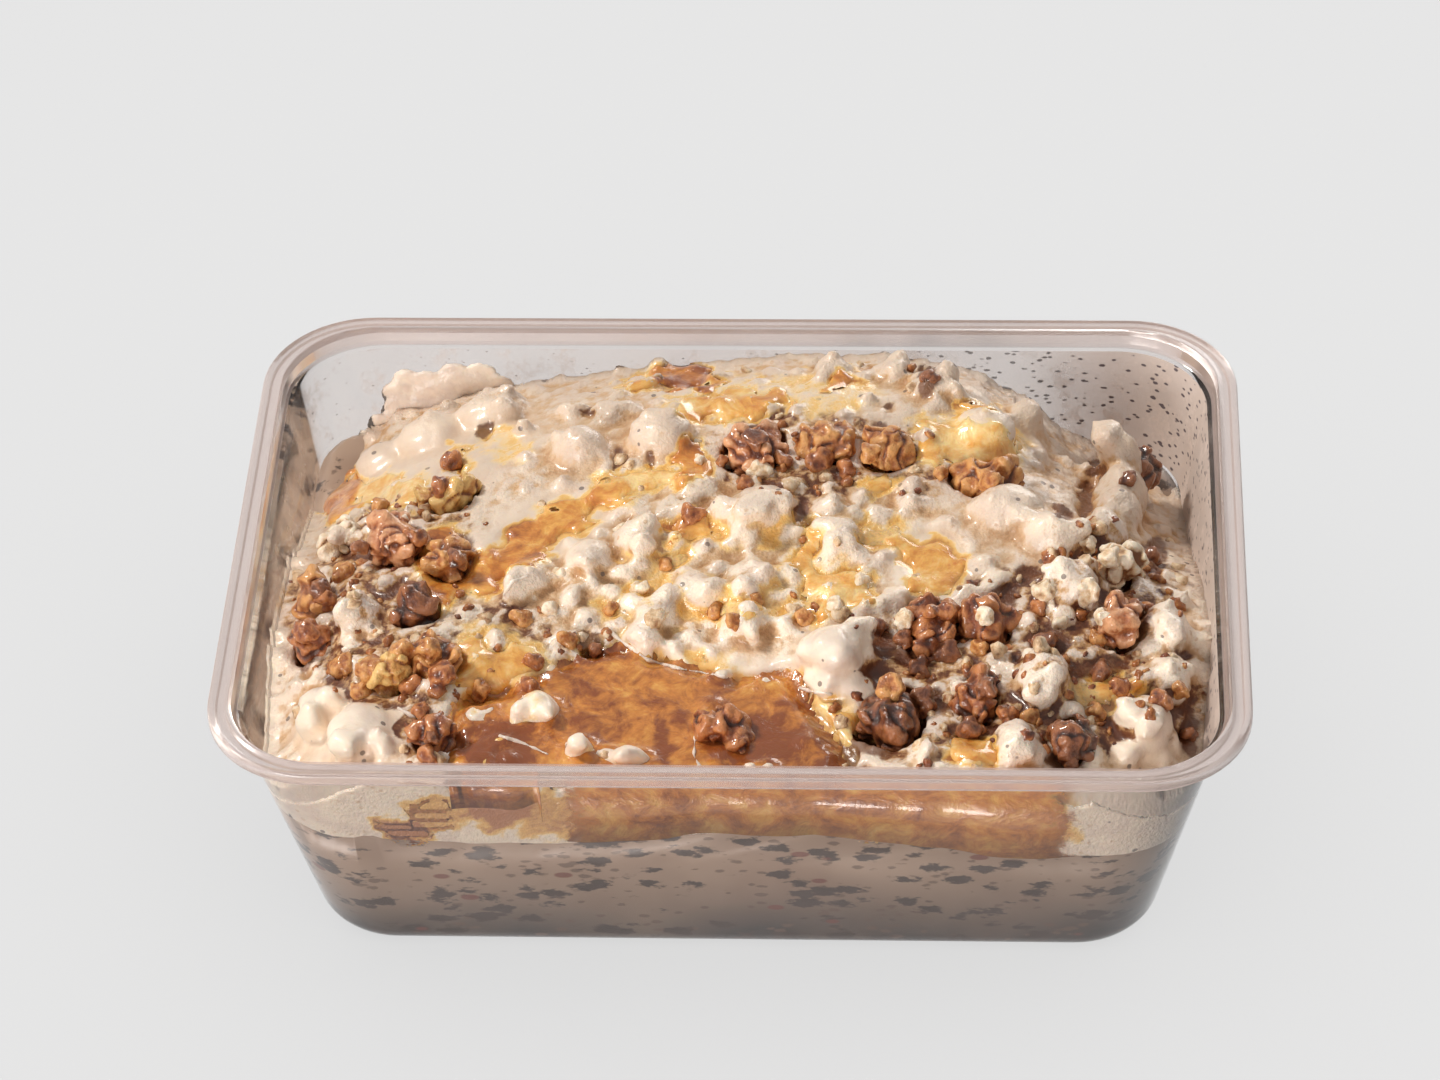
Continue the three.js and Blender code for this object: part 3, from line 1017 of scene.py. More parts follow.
@dataclass
class Ground:
    """The topping's surface as the CAD gives it, for placing pieces on it."""

    frame: dict
    lens: Lens
    tree: BVHTree = field(init=False)
    nuts: BVHTree = field(init=False)

    def __post_init__(self) -> None:
        """Joins the topping and its walnuts into one surface to aim at."""
        nodes = self.frame["nodes"]
        self.tree = surface_of(*[node for name, node in nodes.items() if name != "tub"])
        self.nuts = surface_of(*[node for name, node in nodes.items() if "walnut" in name])

    def landing(self, across: float, down: float) -> tuple[Vector | None, Vector | None]:
        """Place and outward direction of the food that shows at a photograph pixel."""
        hit, normal, _, _ = self.tree.ray_cast(self.lens.eye(), self.lens.ray(across, down))
        return hit, normal

    def size(self, hit: Vector, pixels: float) -> float:
        """Real length of a number of photograph pixels at a place."""
        depth = self.lens.project(np.array([hit]))[0, 2]
        return pixels * float(depth) / self.lens.focal

    def depth(self, spot: Spot) -> float:
        """Depth of a spot along the view."""
        hit, _ = self.landing(spot.across, spot.down)
        if hit is None:
            return self.lens.distance
        return float(self.lens.project(np.array([hit]))[0, 2])


class Area:
    """Several spots of one kind, set on the food."""

    def __init__(self, ground: Ground, spots: tuple[Spot, ...], soft: float = 0.35) -> None:
        """Finds how far along the view each spot lies."""
        self.lens = ground.lens
        self.soft = soft
        self.spots = [(spot, ground.depth(spot)) for spot in spots]

    def value(self, points: np.ndarray, wander: float = 0.0) -> np.ndarray:
        """Strongest spot at each point.

        Args:
            points: One row for each point.
            wander: How far the spots' edges wander, in pixels.

        Returns:
            A value for each point, 0 outside all spots.
        """
        seen = self.lens.project(points)
        if wander:
            seen[:, 0] += wander * swell(points, 4 * MM, 3, 11.0)
            seen[:, 1] += wander * 0.8 * swell(points, 4 * MM, 3, 17.0)
        value = np.zeros(len(points))
        for spot, depth in self.spots:
            value = np.maximum(value, spot.share(seen, depth, self.soft) * spot.value)
        return value


def strewn(
    tree: BVHTree, rule: random.Random, count: int, inset: float, low: float
) -> list[tuple[Vector, Vector]]:
    """Drops points on the food from above.

    Args:
        tree: Surface that they land on.
        rule: Picks the places.
        count: Number of points.
        inset: Room kept to the wall.
        low: Points that land lower than this are left out.

    Returns:
        The place and outward direction of each point that landed.
    """
    half_x, half_y, _ = CONTOUR.at(0.045, CONTOUR.wall + inset)
    landed = []
    for _ in range(count):
        start = Vector((rule.uniform(-half_x, half_x), rule.uniform(-half_y, half_y), 0.2))
        hit, normal, _, _ = tree.ray_cast(start, Vector((0, 0, -1)))
        if hit is not None and hit.z > low:
            landed.append((hit, normal))
    return landed


# Where things are on the food, in photograph pixels

HONEY_SPOTS = (
    Spot(337, 492, 24, 30, 0, 0.85),
    Spot(392, 492, 46, 20, 0, 0.45),
    Spot(440, 568, 26, 44, 10, 0.9),
    Spot(478, 574, 30, 24, -30, 0.8),
    Spot(522, 546, 42, 22, -25, 0.85),
    Spot(572, 516, 42, 18, -20, 0.7),
    Spot(612, 497, 26, 14, -10, 0.6),
    Spot(505, 445, 26, 20, 0, 0.3),
    Spot(460, 460, 18, 14, 0, 0.55),
    # This spot also paints the shade beside the lump at 660, 440 in honey brown: painted shade.
    Spot(690, 462, 20, 26, 0, 0.75),
    Spot(650, 480, 60, 12, 0, 0.45),
    Spot(500, 680, 60, 44, 0, 0.6),
    Spot(500, 748, 50, 24, 0, 0.95),
    Spot(640, 700, 120, 66, 0, 0.45),
    Spot(800, 725, 70, 50, 0, 0.5),
    Spot(560, 812, 60, 22, 0, 0.9),
    Spot(700, 808, 110, 26, 0, 1.1),
    Spot(900, 810, 130, 28, 0, 1.15),
    Spot(1020, 815, 60, 26, 10, 0.8),
    Spot(402, 828, 34, 12, 10, 1.25),
    Spot(440, 812, 40, 18, 0, 0.85),
    Spot(497, 808, 36, 22, 0, 1.3),
    Spot(925, 450, 22, 20, 0, 0.55),
    Spot(885, 486, 24, 14, 0, 0.5),
    Spot(740, 612, 30, 18, 0, 0.35),
    Spot(1125, 688, 22, 14, 0, 0.7),
    Spot(975, 406, 24, 6, 0, 0.6),
    Spot(480, 660, 26, 40, 0, 0.55),
    Spot(830, 608, 26, 18, 0, 0.6),
    Spot(690, 525, 30, 20, 0, 0.75),
    Spot(660, 560, 40, 14, 0, 0.4),
    Spot(730, 405, 66, 18, -5, 0.6),
    Spot(685, 378, 40, 13, 0, 1.0),
    Spot(640, 385, 22, 10, 0, 0.5),
    Spot(843, 380, 20, 11, 0, 0.8),
    Spot(800, 395, 80, 22, 0, 0.3),
    Spot(968, 442, 62, 26, 10, 0.46),
    Spot(908, 546, 26, 14, 10, 0.6),
    Spot(940, 562, 30, 24, 30, 0.72),
    Spot(925, 585, 24, 14, 20, 0.6),
    Spot(958, 590, 14, 18, 0, 0.5),
    Spot(972, 755, 30, 18, 0, 0.7),
    Spot(820, 560, 40, 40, 0, 0.5),
    Spot(740, 600, 70, 26, 0, 0.42),
    Spot(640, 600, 50, 24, 0, 0.36),
    Spot(760, 530, 60, 22, 0, 0.36),
    Spot(870, 530, 40, 20, 0, 0.4),
    Spot(850, 590, 30, 30, 0, 0.5),
    Spot(1110, 690, 40, 20, 0, 0.4),
)
DEEP_SPOTS = (
    Spot(500, 745, 44, 26, 0, 1.0),
    Spot(664, 738, 10, 30, 0, 1.0),
    Spot(745, 742, 40, 30, 0, 0.9),
    Spot(820, 740, 50, 40, 0, 0.8),
    Spot(595, 645, 30, 18, 0, 0.8),
    Spot(560, 690, 50, 30, 0, 0.3),
    Spot(700, 700, 60, 30, 0, 0.25),
    Spot(600, 720, 40, 24, 0, 0.4),
    Spot(440, 810, 60, 24, 0, 0.9),
    Spot(640, 806, 40, 14, 0, 0.6),
    Spot(760, 815, 60, 10, 0, 0.5),
    Spot(930, 815, 60, 14, 0, 0.7),
)
CRUMB_SPOTS = (
    Spot(400, 515, 70, 34, 0, 0.8),
    Spot(385, 580, 80, 60, 0, 0.9),
    Spot(310, 600, 30, 60, 0, 0.8),
    Spot(395, 665, 72, 42, 0, 0.95),
    Spot(425, 735, 24, 36, 0, 0.9),
    Spot(510, 640, 40, 40, 0, 0.5),
    Spot(800, 452, 90, 40, 0, 0.9),
    Spot(900, 460, 60, 34, 0, 0.7),
    Spot(800, 528, 26, 30, 0, 0.6),
    Spot(825, 600, 40, 26, 0, 0.4),
    Spot(930, 690, 90, 76, 0, 1.0),
    Spot(1030, 630, 90, 60, 0, 0.8),
    Spot(1090, 700, 80, 60, 0, 0.8),
    Spot(1120, 570, 60, 60, 0, 0.85),
    Spot(1180, 700, 40, 50, 0, 0.5),
    Spot(590, 645, 40, 18, 0, 0.7),
)
SMOOTH_SPOTS = (
    Spot(440, 455, 105, 40, -15),
    Spot(585, 455, 40, 44, 0, 0.35),
    Spot(660, 440, 40, 38, 0, 0.35),
    Spot(350, 725, 66, 44, 0),
    Spot(835, 670, 50, 46, 0),
    Spot(820, 405, 110, 24, 0, 0.4),
    Spot(1000, 540, 60, 50, 0, 0.3),
    Spot(930, 562, 44, 40, 0),
    Spot(680, 715, 210, 64, 0),
    Spot(1150, 730, 50, 40, 0),
    Spot(550, 525, 70, 34, -20),
    Spot(985, 440, 56, 26, 10),
)
# Dark spots between lumps and nuts: partly nut skin and soaked crevices, partly painted shade; the cream is also
# dented there.
NUT_SKIN_AND_SHADE_SPOTS = (
    Spot(755, 433, 17, 9), Spot(743, 468, 8, 10), Spot(800, 513, 8, 10),
    Spot(806, 545, 18, 13, 0, 0.6), Spot(884, 642, 13, 17, -20), Spot(925, 702, 30, 14, 10),
    Spot(984, 700, 11, 24), Spot(968, 732, 24, 13, -15), Spot(1100, 668, 28, 12),
    Spot(1068, 734, 20, 13, 20), Spot(1136, 620, 18, 24), Spot(1121, 588, 9, 13),
    Spot(590, 645, 13, 12, 45), Spot(1048, 642, 24, 12),
    Spot(1173, 693, 9, 6), Spot(306, 658, 8, 20), Spot(455, 548, 24, 16),
    Spot(362, 552, 22, 8), Spot(815, 592, 14, 11, 0, 0.6), Spot(618, 457, 6, 12),
    Spot(649, 460, 5, 11), Spot(588, 412, 7, 5), Spot(487, 430, 6, 10, 20),
    Spot(1096, 469, 12, 9), Spot(1062, 512, 14, 6, 25), Spot(432, 741, 14, 9),
    Spot(462, 758, 7, 6), Spot(692, 460, 8, 24, -10), Spot(961, 461, 18, 4, 15),
    Spot(1155, 555, 13, 20), Spot(890, 408, 6, 4), Spot(685, 378, 34, 13),
    Spot(905, 655, 12, 10), Spot(994, 640, 18, 12), Spot(1005, 600, 12, 14),
    Spot(928, 378, 12, 20), Spot(880, 432, 10, 12), Spot(825, 448, 18, 6),
    Spot(1062, 760, 16, 10), Spot(1058, 425, 8, 22, -20), Spot(1085, 500, 9, 20),
    Spot(850, 745, 14, 26), Spot(880, 738, 24, 20), Spot(1105, 705, 12, 8),
    Spot(320, 592, 12, 12), Spot(376, 506, 9, 12), Spot(458, 466, 10, 6),
    Spot(1190, 735, 10, 24), Spot(1030, 575, 14, 10), Spot(905, 800, 40, 8),
    Spot(700, 800, 30, 6), Spot(500, 660, 6, 8),
)


class Bits(NamedTuple):
    """Small pieces of one kind, each given by its photograph pixel and half width in pixels."""

    kind: str
    places: tuple[tuple[float, float, float], ...]


CREAM_BITS = Bits("cream", (
    (505, 408, 15), (525, 430, 13), (335, 537, 12), (350, 537, 11), (387, 547, 6),
    (405, 517, 6), (305, 565, 10), (345, 612, 15), (352, 636, 13), (370, 628, 13),
    (516, 586, 16), (470, 612, 12), (495, 640, 10), (490, 713, 11), (520, 709, 13),
    (548, 712, 12), (578, 742, 15), (604, 757, 11), (625, 756, 12), (570, 412, 14),
    (755, 508, 26), (728, 512, 18), (782, 500, 15), (745, 536, 19), (638, 515, 11),
    (642, 545, 15), (668, 515, 10), (570, 546, 12), (585, 560, 14), (572, 600, 15),
    (590, 588, 13), (585, 618, 13), (611, 592, 12), (640, 566, 14), (630, 606, 14),
    (650, 622, 14), (668, 598, 14), (645, 642, 22), (672, 648, 14), (705, 590, 20),
    (718, 572, 14), (744, 585, 14), (762, 572, 13), (752, 632, 11), (785, 628, 13),
    (725, 640, 12), (815, 363, 9), (858, 369, 9), (895, 371, 13), (953, 373, 9),
    (955, 390, 11), (1012, 405, 10), (935, 405, 10), (910, 488, 14), (908, 506, 15),
    (830, 508, 16), (852, 515, 12), (880, 514, 12), (790, 535, 13), (838, 545, 18),
    (1022, 515, 10), (790, 580, 12), (828, 560, 14), (855, 556, 13), (836, 650, 30),
    (858, 632, 24), (822, 680, 21), (852, 690, 20), (812, 650, 17), (897, 599, 12), (985, 566, 16), (968, 594, 14),
    (990, 590, 12), (1000, 660, 14), (960, 686, 10), (1012, 680, 12), (924, 755, 17),
    (1018, 748, 22), (1040, 760, 14), (1083, 528, 13), (1062, 568, 12), (1065, 617, 12),
    (1150, 652, 18), (1170, 630, 18), (1196, 642, 13), (1195, 672, 14), (1072, 712, 12),
    (1130, 712, 18), (1150, 728, 16), (1125, 755, 16), (1160, 757, 14), (1095, 758, 12),
    (1045, 606, 9), (1030, 650, 10), (690, 640, 12), (560, 640, 11), (1048, 590, 9),
    (1078, 590, 9), (1090, 602, 9), (705, 548, 12), (620, 575, 12), (600, 535, 10),
    (775, 600, 11), (880, 560, 12), (1180, 600, 12), (1168, 668, 12), (1105, 438, 15),
    (1040, 690, 20), (1052, 676, 13), (310, 722, 20), (345, 745, 22), (380, 742, 16),
    (330, 700, 15), (296, 690, 12),
))
NUT_BITS = (
    Bits("RED", (
        (442, 672, 15), (410, 686, 14), (436, 692, 12), (325, 600, 12), (305, 632, 14),
        (452, 463, 12), (440, 489, 13), (415, 536, 13), (420, 714, 12), (528, 690, 13),
        (532, 664, 12), (722, 462, 9), (745, 486, 11), (785, 462, 12), (690, 516, 15),
        (945, 612, 11), (1040, 611, 12), (1050, 560, 12), (1008, 716, 13), (1160, 702, 13),
        (430, 758, 13), (820, 465, 15), (845, 470, 11), (930, 612, 9), (1120, 690, 12),
    )),
    Bits("TAN", (
        (372, 668, 17), (400, 655, 16), (345, 668, 15), (430, 650, 15), (360, 692, 12),
        (345, 575, 13), (380, 510, 12), (522, 618, 13), (940, 476, 10), (990, 484, 15),
        (565, 642, 12), (610, 610, 10), (480, 690, 12), (1100, 640, 12), (870, 452, 12),
        (890, 690, 16), (980, 650, 12), (715, 612, 11), (735, 622, 11), (1095, 712, 11),
        (1180, 690, 10), (1030, 720, 11), (755, 600, 9), (665, 565, 10), (805, 620, 10),
    )),
    Bits("DARK", (
        (320, 590, 13), (455, 560, 13), (362, 548, 11), (880, 628, 13), (918, 668, 15),
        (948, 655, 15), (925, 702, 16), (985, 690, 12), (968, 730, 13), (1100, 672, 14),
        (1062, 732, 14), (1045, 643, 14), (1150, 560, 12), (1188, 735, 10),
        (755, 436, 14), (905, 640, 11), (1070, 760, 12), (1135, 612, 13),
        (595, 650, 9), (432, 738, 10), (930, 378, 11), (1128, 480, 10),
    )),
    Bits("COATED", (
        (1045, 592, 14), (1085, 592, 15), (1105, 618, 12), (835, 608, 12), (760, 470, 12),
        (700, 462, 8), (860, 585, 12), (1060, 625, 10), (985, 616, 11), (905, 620, 12),
        (640, 590, 11), (550, 610, 11), (1110, 560, 12), (1085, 545, 11), (560, 575, 10),
    )),
)


def rough_turn(rule: random.Random) -> Euler:
    """A turn picked by the rule."""
    return Euler((rule.uniform(0, 6.28), rule.uniform(0, 6.28), rule.uniform(0, 6.28)))


def chunk(
    mesh: bmesh.types.BMesh, rule: random.Random, centre: Vector, size: float,
    uneven: float = 0.45, detail: int = 2,
) -> None:
    """Adds one uneven broken bit.

    Args:
        mesh: The mesh that it is added to.
        rule: Picks its shape.
        centre: Its middle.
        size: Its longest half size.
        uneven: How far its skin swells and dips.
        detail: How finely it is divided.
    """
    half = Vector((size, size * rule.uniform(0.65, 1.0), size * rule.uniform(0.55, 0.95)))
    shift = Vector((rule.uniform(0, 50), rule.uniform(0, 50), rule.uniform(0, 50)))
    for vert in lump(mesh, centre, half, rough_turn(rule), detail):
        away = vert.co - centre
        vert.co = centre + away * (1 + uneven * noise.noise(away / size * 1.3 + shift))


@dataclass
class CreamHeap:
    """The heap of cream with its coated nut pieces, as one skin."""

    ground: Ground
    finish: Cream
    voxel: float = 0.79 * MM
    reach: float = 0.14 * MM
    near: float = 1.5 * MM
    skirt: float = 0.9 * MM
    skirt_from: float = -22 * MM
    skirt_to: float = 52 * MM
    skirt_top: float = 46 * MM
    gap_depth: float = 0.7 * MM
    pebbles: int = 1100
    knobs: int = 4
    seed: int = 7
    fill: tuple[str, ...] = (
        "honey_pool", "honey_right", "honey_streak", "honey_back", "honey_crest", "honey_left",
    )

    def build(self, nodes: dict[str, bpy.types.Object]) -> bpy.types.Object:
        """Makes the piece that stands for the CAD's heap.

        Args:
            nodes: The CAD nodes.

        Returns:
            The piece.
        """
        mesh = merged(nodes["cream_heap"])
        for name in self.fill:
            self.fill_basin(mesh, nodes[name])
        calm = Area(self.ground, SMOOTH_SPOTS)
        rule = random.Random(self.seed)
        self.strew(mesh, rule, calm)
        for across, down, wide in CREAM_BITS.places:
            hit, _ = self.ground.landing(across, down)
            size = self.ground.size(hit, wide)
            chunk(mesh, rule, hit, size * 0.98, 0.5, 3)
            for _ in range(self.knobs):
                away = Vector([rule.uniform(-1, 1) for _ in range(3)]).normalized()
                chunk(mesh, rule, hit + away * size * 0.62, size * rule.uniform(0.34, 0.55))
        piece = new_piece("cream", mesh, self.finish.material())
        remeshed(piece, self.voxel)
        data = piece.data
        move_points(data, relaxed(data, points_of(data), 2))
        dark = Area(self.ground, NUT_SKIN_AND_SHADE_SPOTS)
        self.rough_up(data, calm, dark)
        self.colour(data, dark)
        write_value(data, "calm", calm.value(points_of(data), 6))
        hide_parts("cream_heap")
        return piece

    @staticmethod
    def fill_basin(mesh: bmesh.types.BMesh, source: bpy.types.Object) -> None:
        """Fills most of the room that the CAD leaves for honey, so that the honey lies thin."""
        filling = merged(source)
        deep = source.name == "honey_pool"
        for vert in filling.verts:
            vert.co += vert.normal * (0.9 if deep else 0.4) * MM
            if deep:
                vert.co.y += 0.8 * MM
                vert.co.z -= 2.2 * MM if vert.co.z > 38 * MM else 0
            elif vert.normal.z > 0.5:
                vert.co.z -= 0.7 * MM
        spare = bpy.data.meshes.new("filling")
        filling.to_mesh(spare)
        filling.free()
        mesh.from_mesh(spare)
        bpy.data.meshes.remove(spare)

    def strew(self, mesh: bmesh.types.BMesh, rule: random.Random, calm: Area) -> None:
        """Adds coated nut pieces over the rough parts of the heap, clear of the walnuts."""
        landed = strewn(self.ground.tree, rule, self.pebbles, 0.0, 0.033)
        still = calm.value(np.array([hit for hit, _ in landed]))
        for (hit, normal), quiet in zip(landed, still):
            size = rule.triangular(0.7, 2.6, 1.1) * MM
            lift = rule.uniform(-0.6, 0.2)
            _, _, _, gap = self.ground.nuts.find_nearest(hit)
            if rule.random() > quiet * 0.95 and gap > size * 0.6:
                chunk(mesh, rule, hit + normal * size * lift, size, 0.35)

    def rough_up(self, data: bpy.types.Mesh, calm: Area, dark: Area) -> None:
        """Gives the skin its fine relief and its dark gaps, and presses it to the wall."""
        points = points_of(data)
        normals = normals_of(data)
        rough = 1 - 0.75 * calm.value(points)
        broad = swell(points, 5 * MM, 2)
        fine = swell(points, 1.7 * MM, 2, 5.0)
        height = (0.35 * broad + 0.3 * fine * rough) * MM
        gap, _ = CONTOUR.beyond(points, CONTOUR.wall)
        clear = np.clip(-gap / self.near - 1.0, 0, 1)
        height -= dark.value(points, 3) * clear * self.gap_depth
        free = np.clip(normals[:, 2] + 1.2, 0, 1)
        moved = points + normals * (height * free)[:, None]
        reach = self.reach - self.skirt_share(moved) * (self.reach + self.skirt)
        move_points(data, CONTOUR.press(moved, reach, self.near))

    def skirt_share(self, points: np.ndarray) -> np.ndarray:
        """How fully honey lies between the cream and the front wall at each point."""
        fade = 3 * MM
        left = np.clip((points[:, 0] - self.skirt_from) / fade, 0, 1)
        right = np.clip((self.skirt_to - points[:, 0]) / fade, 0, 1)
        return left * right * (points[:, 1] < 0) * (points[:, 2] < self.skirt_top)

    def colour(self, data: bpy.types.Mesh, dark: Area) -> None:
        """Writes where honey has soaked in, where crumbs lie, where the hollows are and where the dark spots lie;
        the material paints shade from the hollows and the dark spots.
        """
        points = points_of(data)
        fine = hollows(data, points, 10, 0.3 * MM)
        broad = hollows(data, points, 60, 1.1 * MM)
        gap, _ = CONTOUR.beyond(points, CONTOUR.wall)
        free = np.clip(-gap / self.skirt - 1.2, 0, 1)
        depth = 0.5 + (0.25 * fine + 0.3 * broad) * free - 0.2 * (1 - free)
        write_value(data, "hollow", np.clip(depth, 0, 1))
        write_value(data, "honey", self.soaked(points))
        crumb = Area(self.ground, CRUMB_SPOTS, 0.3).value(points, 11)
        write_value(data, "crumb", crumb * (0.15 + 0.85 * self.bare(points)))
        write_value(data, "dark", dark.value(points, 7))

    def bare(self, points: np.ndarray) -> np.ndarray:
        """How far each point is from the round lumps of cream, 0 on a lump and 1 off it."""
        lumps = tuple(Spot(x, y, wide, wide) for x, y, wide in CREAM_BITS.places)
        return 1 - Area(self.ground, lumps, 0.25).value(points, 2)

    def soaked(self, points: np.ndarray) -> np.ndarray:
        """How much honey lies at each point, less on the lumps of cream."""
        honey = Area(self.ground, HONEY_SPOTS, 0.3).value(points, 15)
        return honey * (0.35 + 0.65 * self.bare(points))


@dataclass
class Crumbs:
    """Small bits of walnut strewn over the topping, one piece for each kind."""

    ground: Ground
    count: int
    low: float
    high: float
    seed: int
    share: float

    def build(
        self, name: str, cream: bpy.types.Object, material: bpy.types.Material
    ) -> bpy.types.Object:
        """Makes one kind of crumb.

        Args:
            name: Name of the piece.
            cream: The heap that the crumbs lie on.
            material: Their material.

        Returns:
            The piece.
        """
        rule = random.Random(self.seed)
        mesh = bmesh.new()
        landed = strewn(surface_of(cream), rule, self.count, 1.5 * MM, 0.034)
        likely = Area(self.ground, CRUMB_SPOTS).value(np.array([hit for hit, _ in landed]))
        for (hit, normal), share in zip(landed, likely):
            size = rule.triangular(self.low, self.high, self.low) * MM
            sink = rule.uniform(-0.6, 0.0)
            if rule.random() < max(share, self.share):
                chunk(mesh, rule, hit + normal * size * sink, size, 0.7)
        piece = new_piece(name, mesh, material)
        points = points_of(piece.data)
        write_value(piece.data, "relief", 0.5 + 0.5 * swell(points, 1.1 * MM, 1))
        move_points(piece.data, CONTOUR.press(points, 0.2 * MM, 0.0))
        return piece


@dataclass
class Walnuts:
    """The broken walnut pieces, each standing for its CAD node."""

    seed: int = 31
    lobes: int = 12
    fold_width: float = 0.1
    voxel: float = 0.42 * MM
    looks: tuple[WalnutLook, ...] = (
        WalnutLook.PALE, WalnutLook.PINK, WalnutLook.TAN, WalnutLook.DARK, WalnutLook.COATED,
        WalnutLook.TAN, WalnutLook.RED, WalnutLook.PALE, WalnutLook.TAN, WalnutLook.RED,
        WalnutLook.PINK, WalnutLook.TAN, WalnutLook.TAN, WalnutLook.TAN, WalnutLook.DARK,
        WalnutLook.COATED, WalnutLook.PINK, WalnutLook.RED, WalnutLook.RED, WalnutLook.DARK,
        WalnutLook.RED, WalnutLook.DARK, WalnutLook.RED,
    )

    def build(self, nodes: dict[str, bpy.types.Object]) -> list[bpy.types.Object]:
        """Makes a piece for each walnut node."""
        made = {look: look.value.material() for look in WalnutLook}
        pieces = []
        for number, look in enumerate(self.looks, 1):
            name = f"walnut_{number:02d}"
            pieces.append(self.one(nodes[name], name, number, made[look]))
        return pieces

    def one(
        self, source: bpy.types.Object, name: str, number: int, material: bpy.types.Material
    ) -> bpy.types.Object:
        """Makes one walnut piece.

        Args:
            source: The CAD node that it stands for.
            name: Name of the node.
            number: Its number, which seeds its shape.
            material: Its material.

        Returns:
            The piece.
        """
        rule = random.Random(self.seed * number)
        mesh = merged(source)
        middle = sum((vert.co for vert in mesh.verts), Vector()) / len(mesh.verts)
        for vert in mesh.verts:
            vert.co = middle + (vert.co - middle) * 0.8
        skin = [vert.co.copy() for vert in mesh.verts]
        for _ in range(self.lobes):
            spot = rule.choice(skin)
            size = rule.triangular(1.5, 3.3, 2.1) * MM
            chunk(mesh, rule, spot + (spot - middle) * rule.uniform(-0.3, 0.05), size, 0.5, 3)
        piece = new_piece(f"{name}_nut", mesh, material)
        remeshed(piece, self.voxel)
        data = piece.data
        points = relaxed(data, points_of(data), 2)
        broad = swell(points, 3.2 * MM, 2, number * 3.7)
        fine = swell(points, 1.3 * MM, 2, number * 1.3)
        fold = np.exp(-((swell(points, 4.2 * MM, 1, number * 5.1) / self.fold_width) ** 2))
        height = (0.45 * broad + 0.16 * fine - 0.55 * fold) * MM
        moved = points + normals_of(data) * height[:, None]
        move_points(data, CONTOUR.press(moved, 0.2 * MM, 0.3 * MM))
        deep = hollows(data, points_of(data), 20, 0.4 * MM)
        relief = 0.6 - 0.4 * deep + 0.3 * broad - 0.3 * fold
        write_value(data, "relief", np.clip(relief, 0, 1))
        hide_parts(name)
        return piece


@dataclass
class SmallNuts:
    """Small broken bits of walnut between the large ones, one piece for each look."""

    ground: Ground
    seed: int = 53
    voxel: float = 0.4 * MM
    knobs: int = 5

    def build(self, kind: Bits) -> bpy.types.Object:
        """Makes the bits of one look, at their places in the photograph."""
        rule = random.Random(self.seed + len(kind.places))
        mesh = bmesh.new()
        for across, down, wide in kind.places:
            hit, normal = self.ground.landing(across, down)
            size = self.ground.size(hit, wide)
            middle = hit + normal * size * 0.12
            chunk(mesh, rule, middle, size * 0.95, 0.5, 3)
            for _ in range(self.knobs):
                away = Vector([rule.uniform(-1, 1) for _ in range(3)]).normalized()
                chunk(mesh, rule, middle + away * size * 0.65, size * rule.uniform(0.35, 0.6))
        look = WalnutLook[kind.kind].value
        piece = new_piece(f"small_nuts_{kind.kind.lower()}", mesh, bpy.data.materials[look.name])
        remeshed(piece, self.voxel)
        data = piece.data
        points = points_of(data)
        bend = swell(points, 1.4 * MM, 2, 3.0)
        moved = points + normals_of(data) * (0.28 * bend * MM)[:, None]
        move_points(data, CONTOUR.press(moved, 0.2 * MM, 0.3 * MM))
        deep = hollows(data, points_of(data), 12, 0.3 * MM)
        write_value(data, "relief", np.clip(0.55 - 0.3 * deep + 0.2 * bend, 0, 1))
        return piece


@dataclass
class MilkPuddingBlock:
    """The speckled pudding under the topping."""

    finish: MilkPudding
    reach: float = 0.2 * MM
    near: float = 1.4 * MM
    rise: float = 2.0 * MM
    wave: float = 0.9 * MM
    settle: float = 0.9 * MM
    settle_from: float = 6.0 * MM
    settle_to: float = 3.0 * MM

    def build(self, source: bpy.types.Object) -> bpy.types.Object:
        """Makes the piece from the CAD node that it stands for."""
        mesh = merged(source)
        bmesh.ops.subdivide_edges(mesh, edges=mesh.edges, cuts=2, use_grid_fill=True)
        piece = new_piece("milk_pudding", mesh, self.finish.material())
        points = points_of(piece.data)
        normals = normals_of(piece.data)
        rise = self.rise + self.wave * swell(points, 9 * MM, 2)
        points[:, 2] += rise * np.clip(normals[:, 2], 0, 1)
        low = (self.settle_from - points[:, 2]) / (self.settle_from - self.settle_to)
        points += normals * (self.settle * np.clip(low, 0, 1))[:, None]
        move_points(piece.data, CONTOUR.press(points, self.reach, self.near))
        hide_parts("pudding")
        return piece


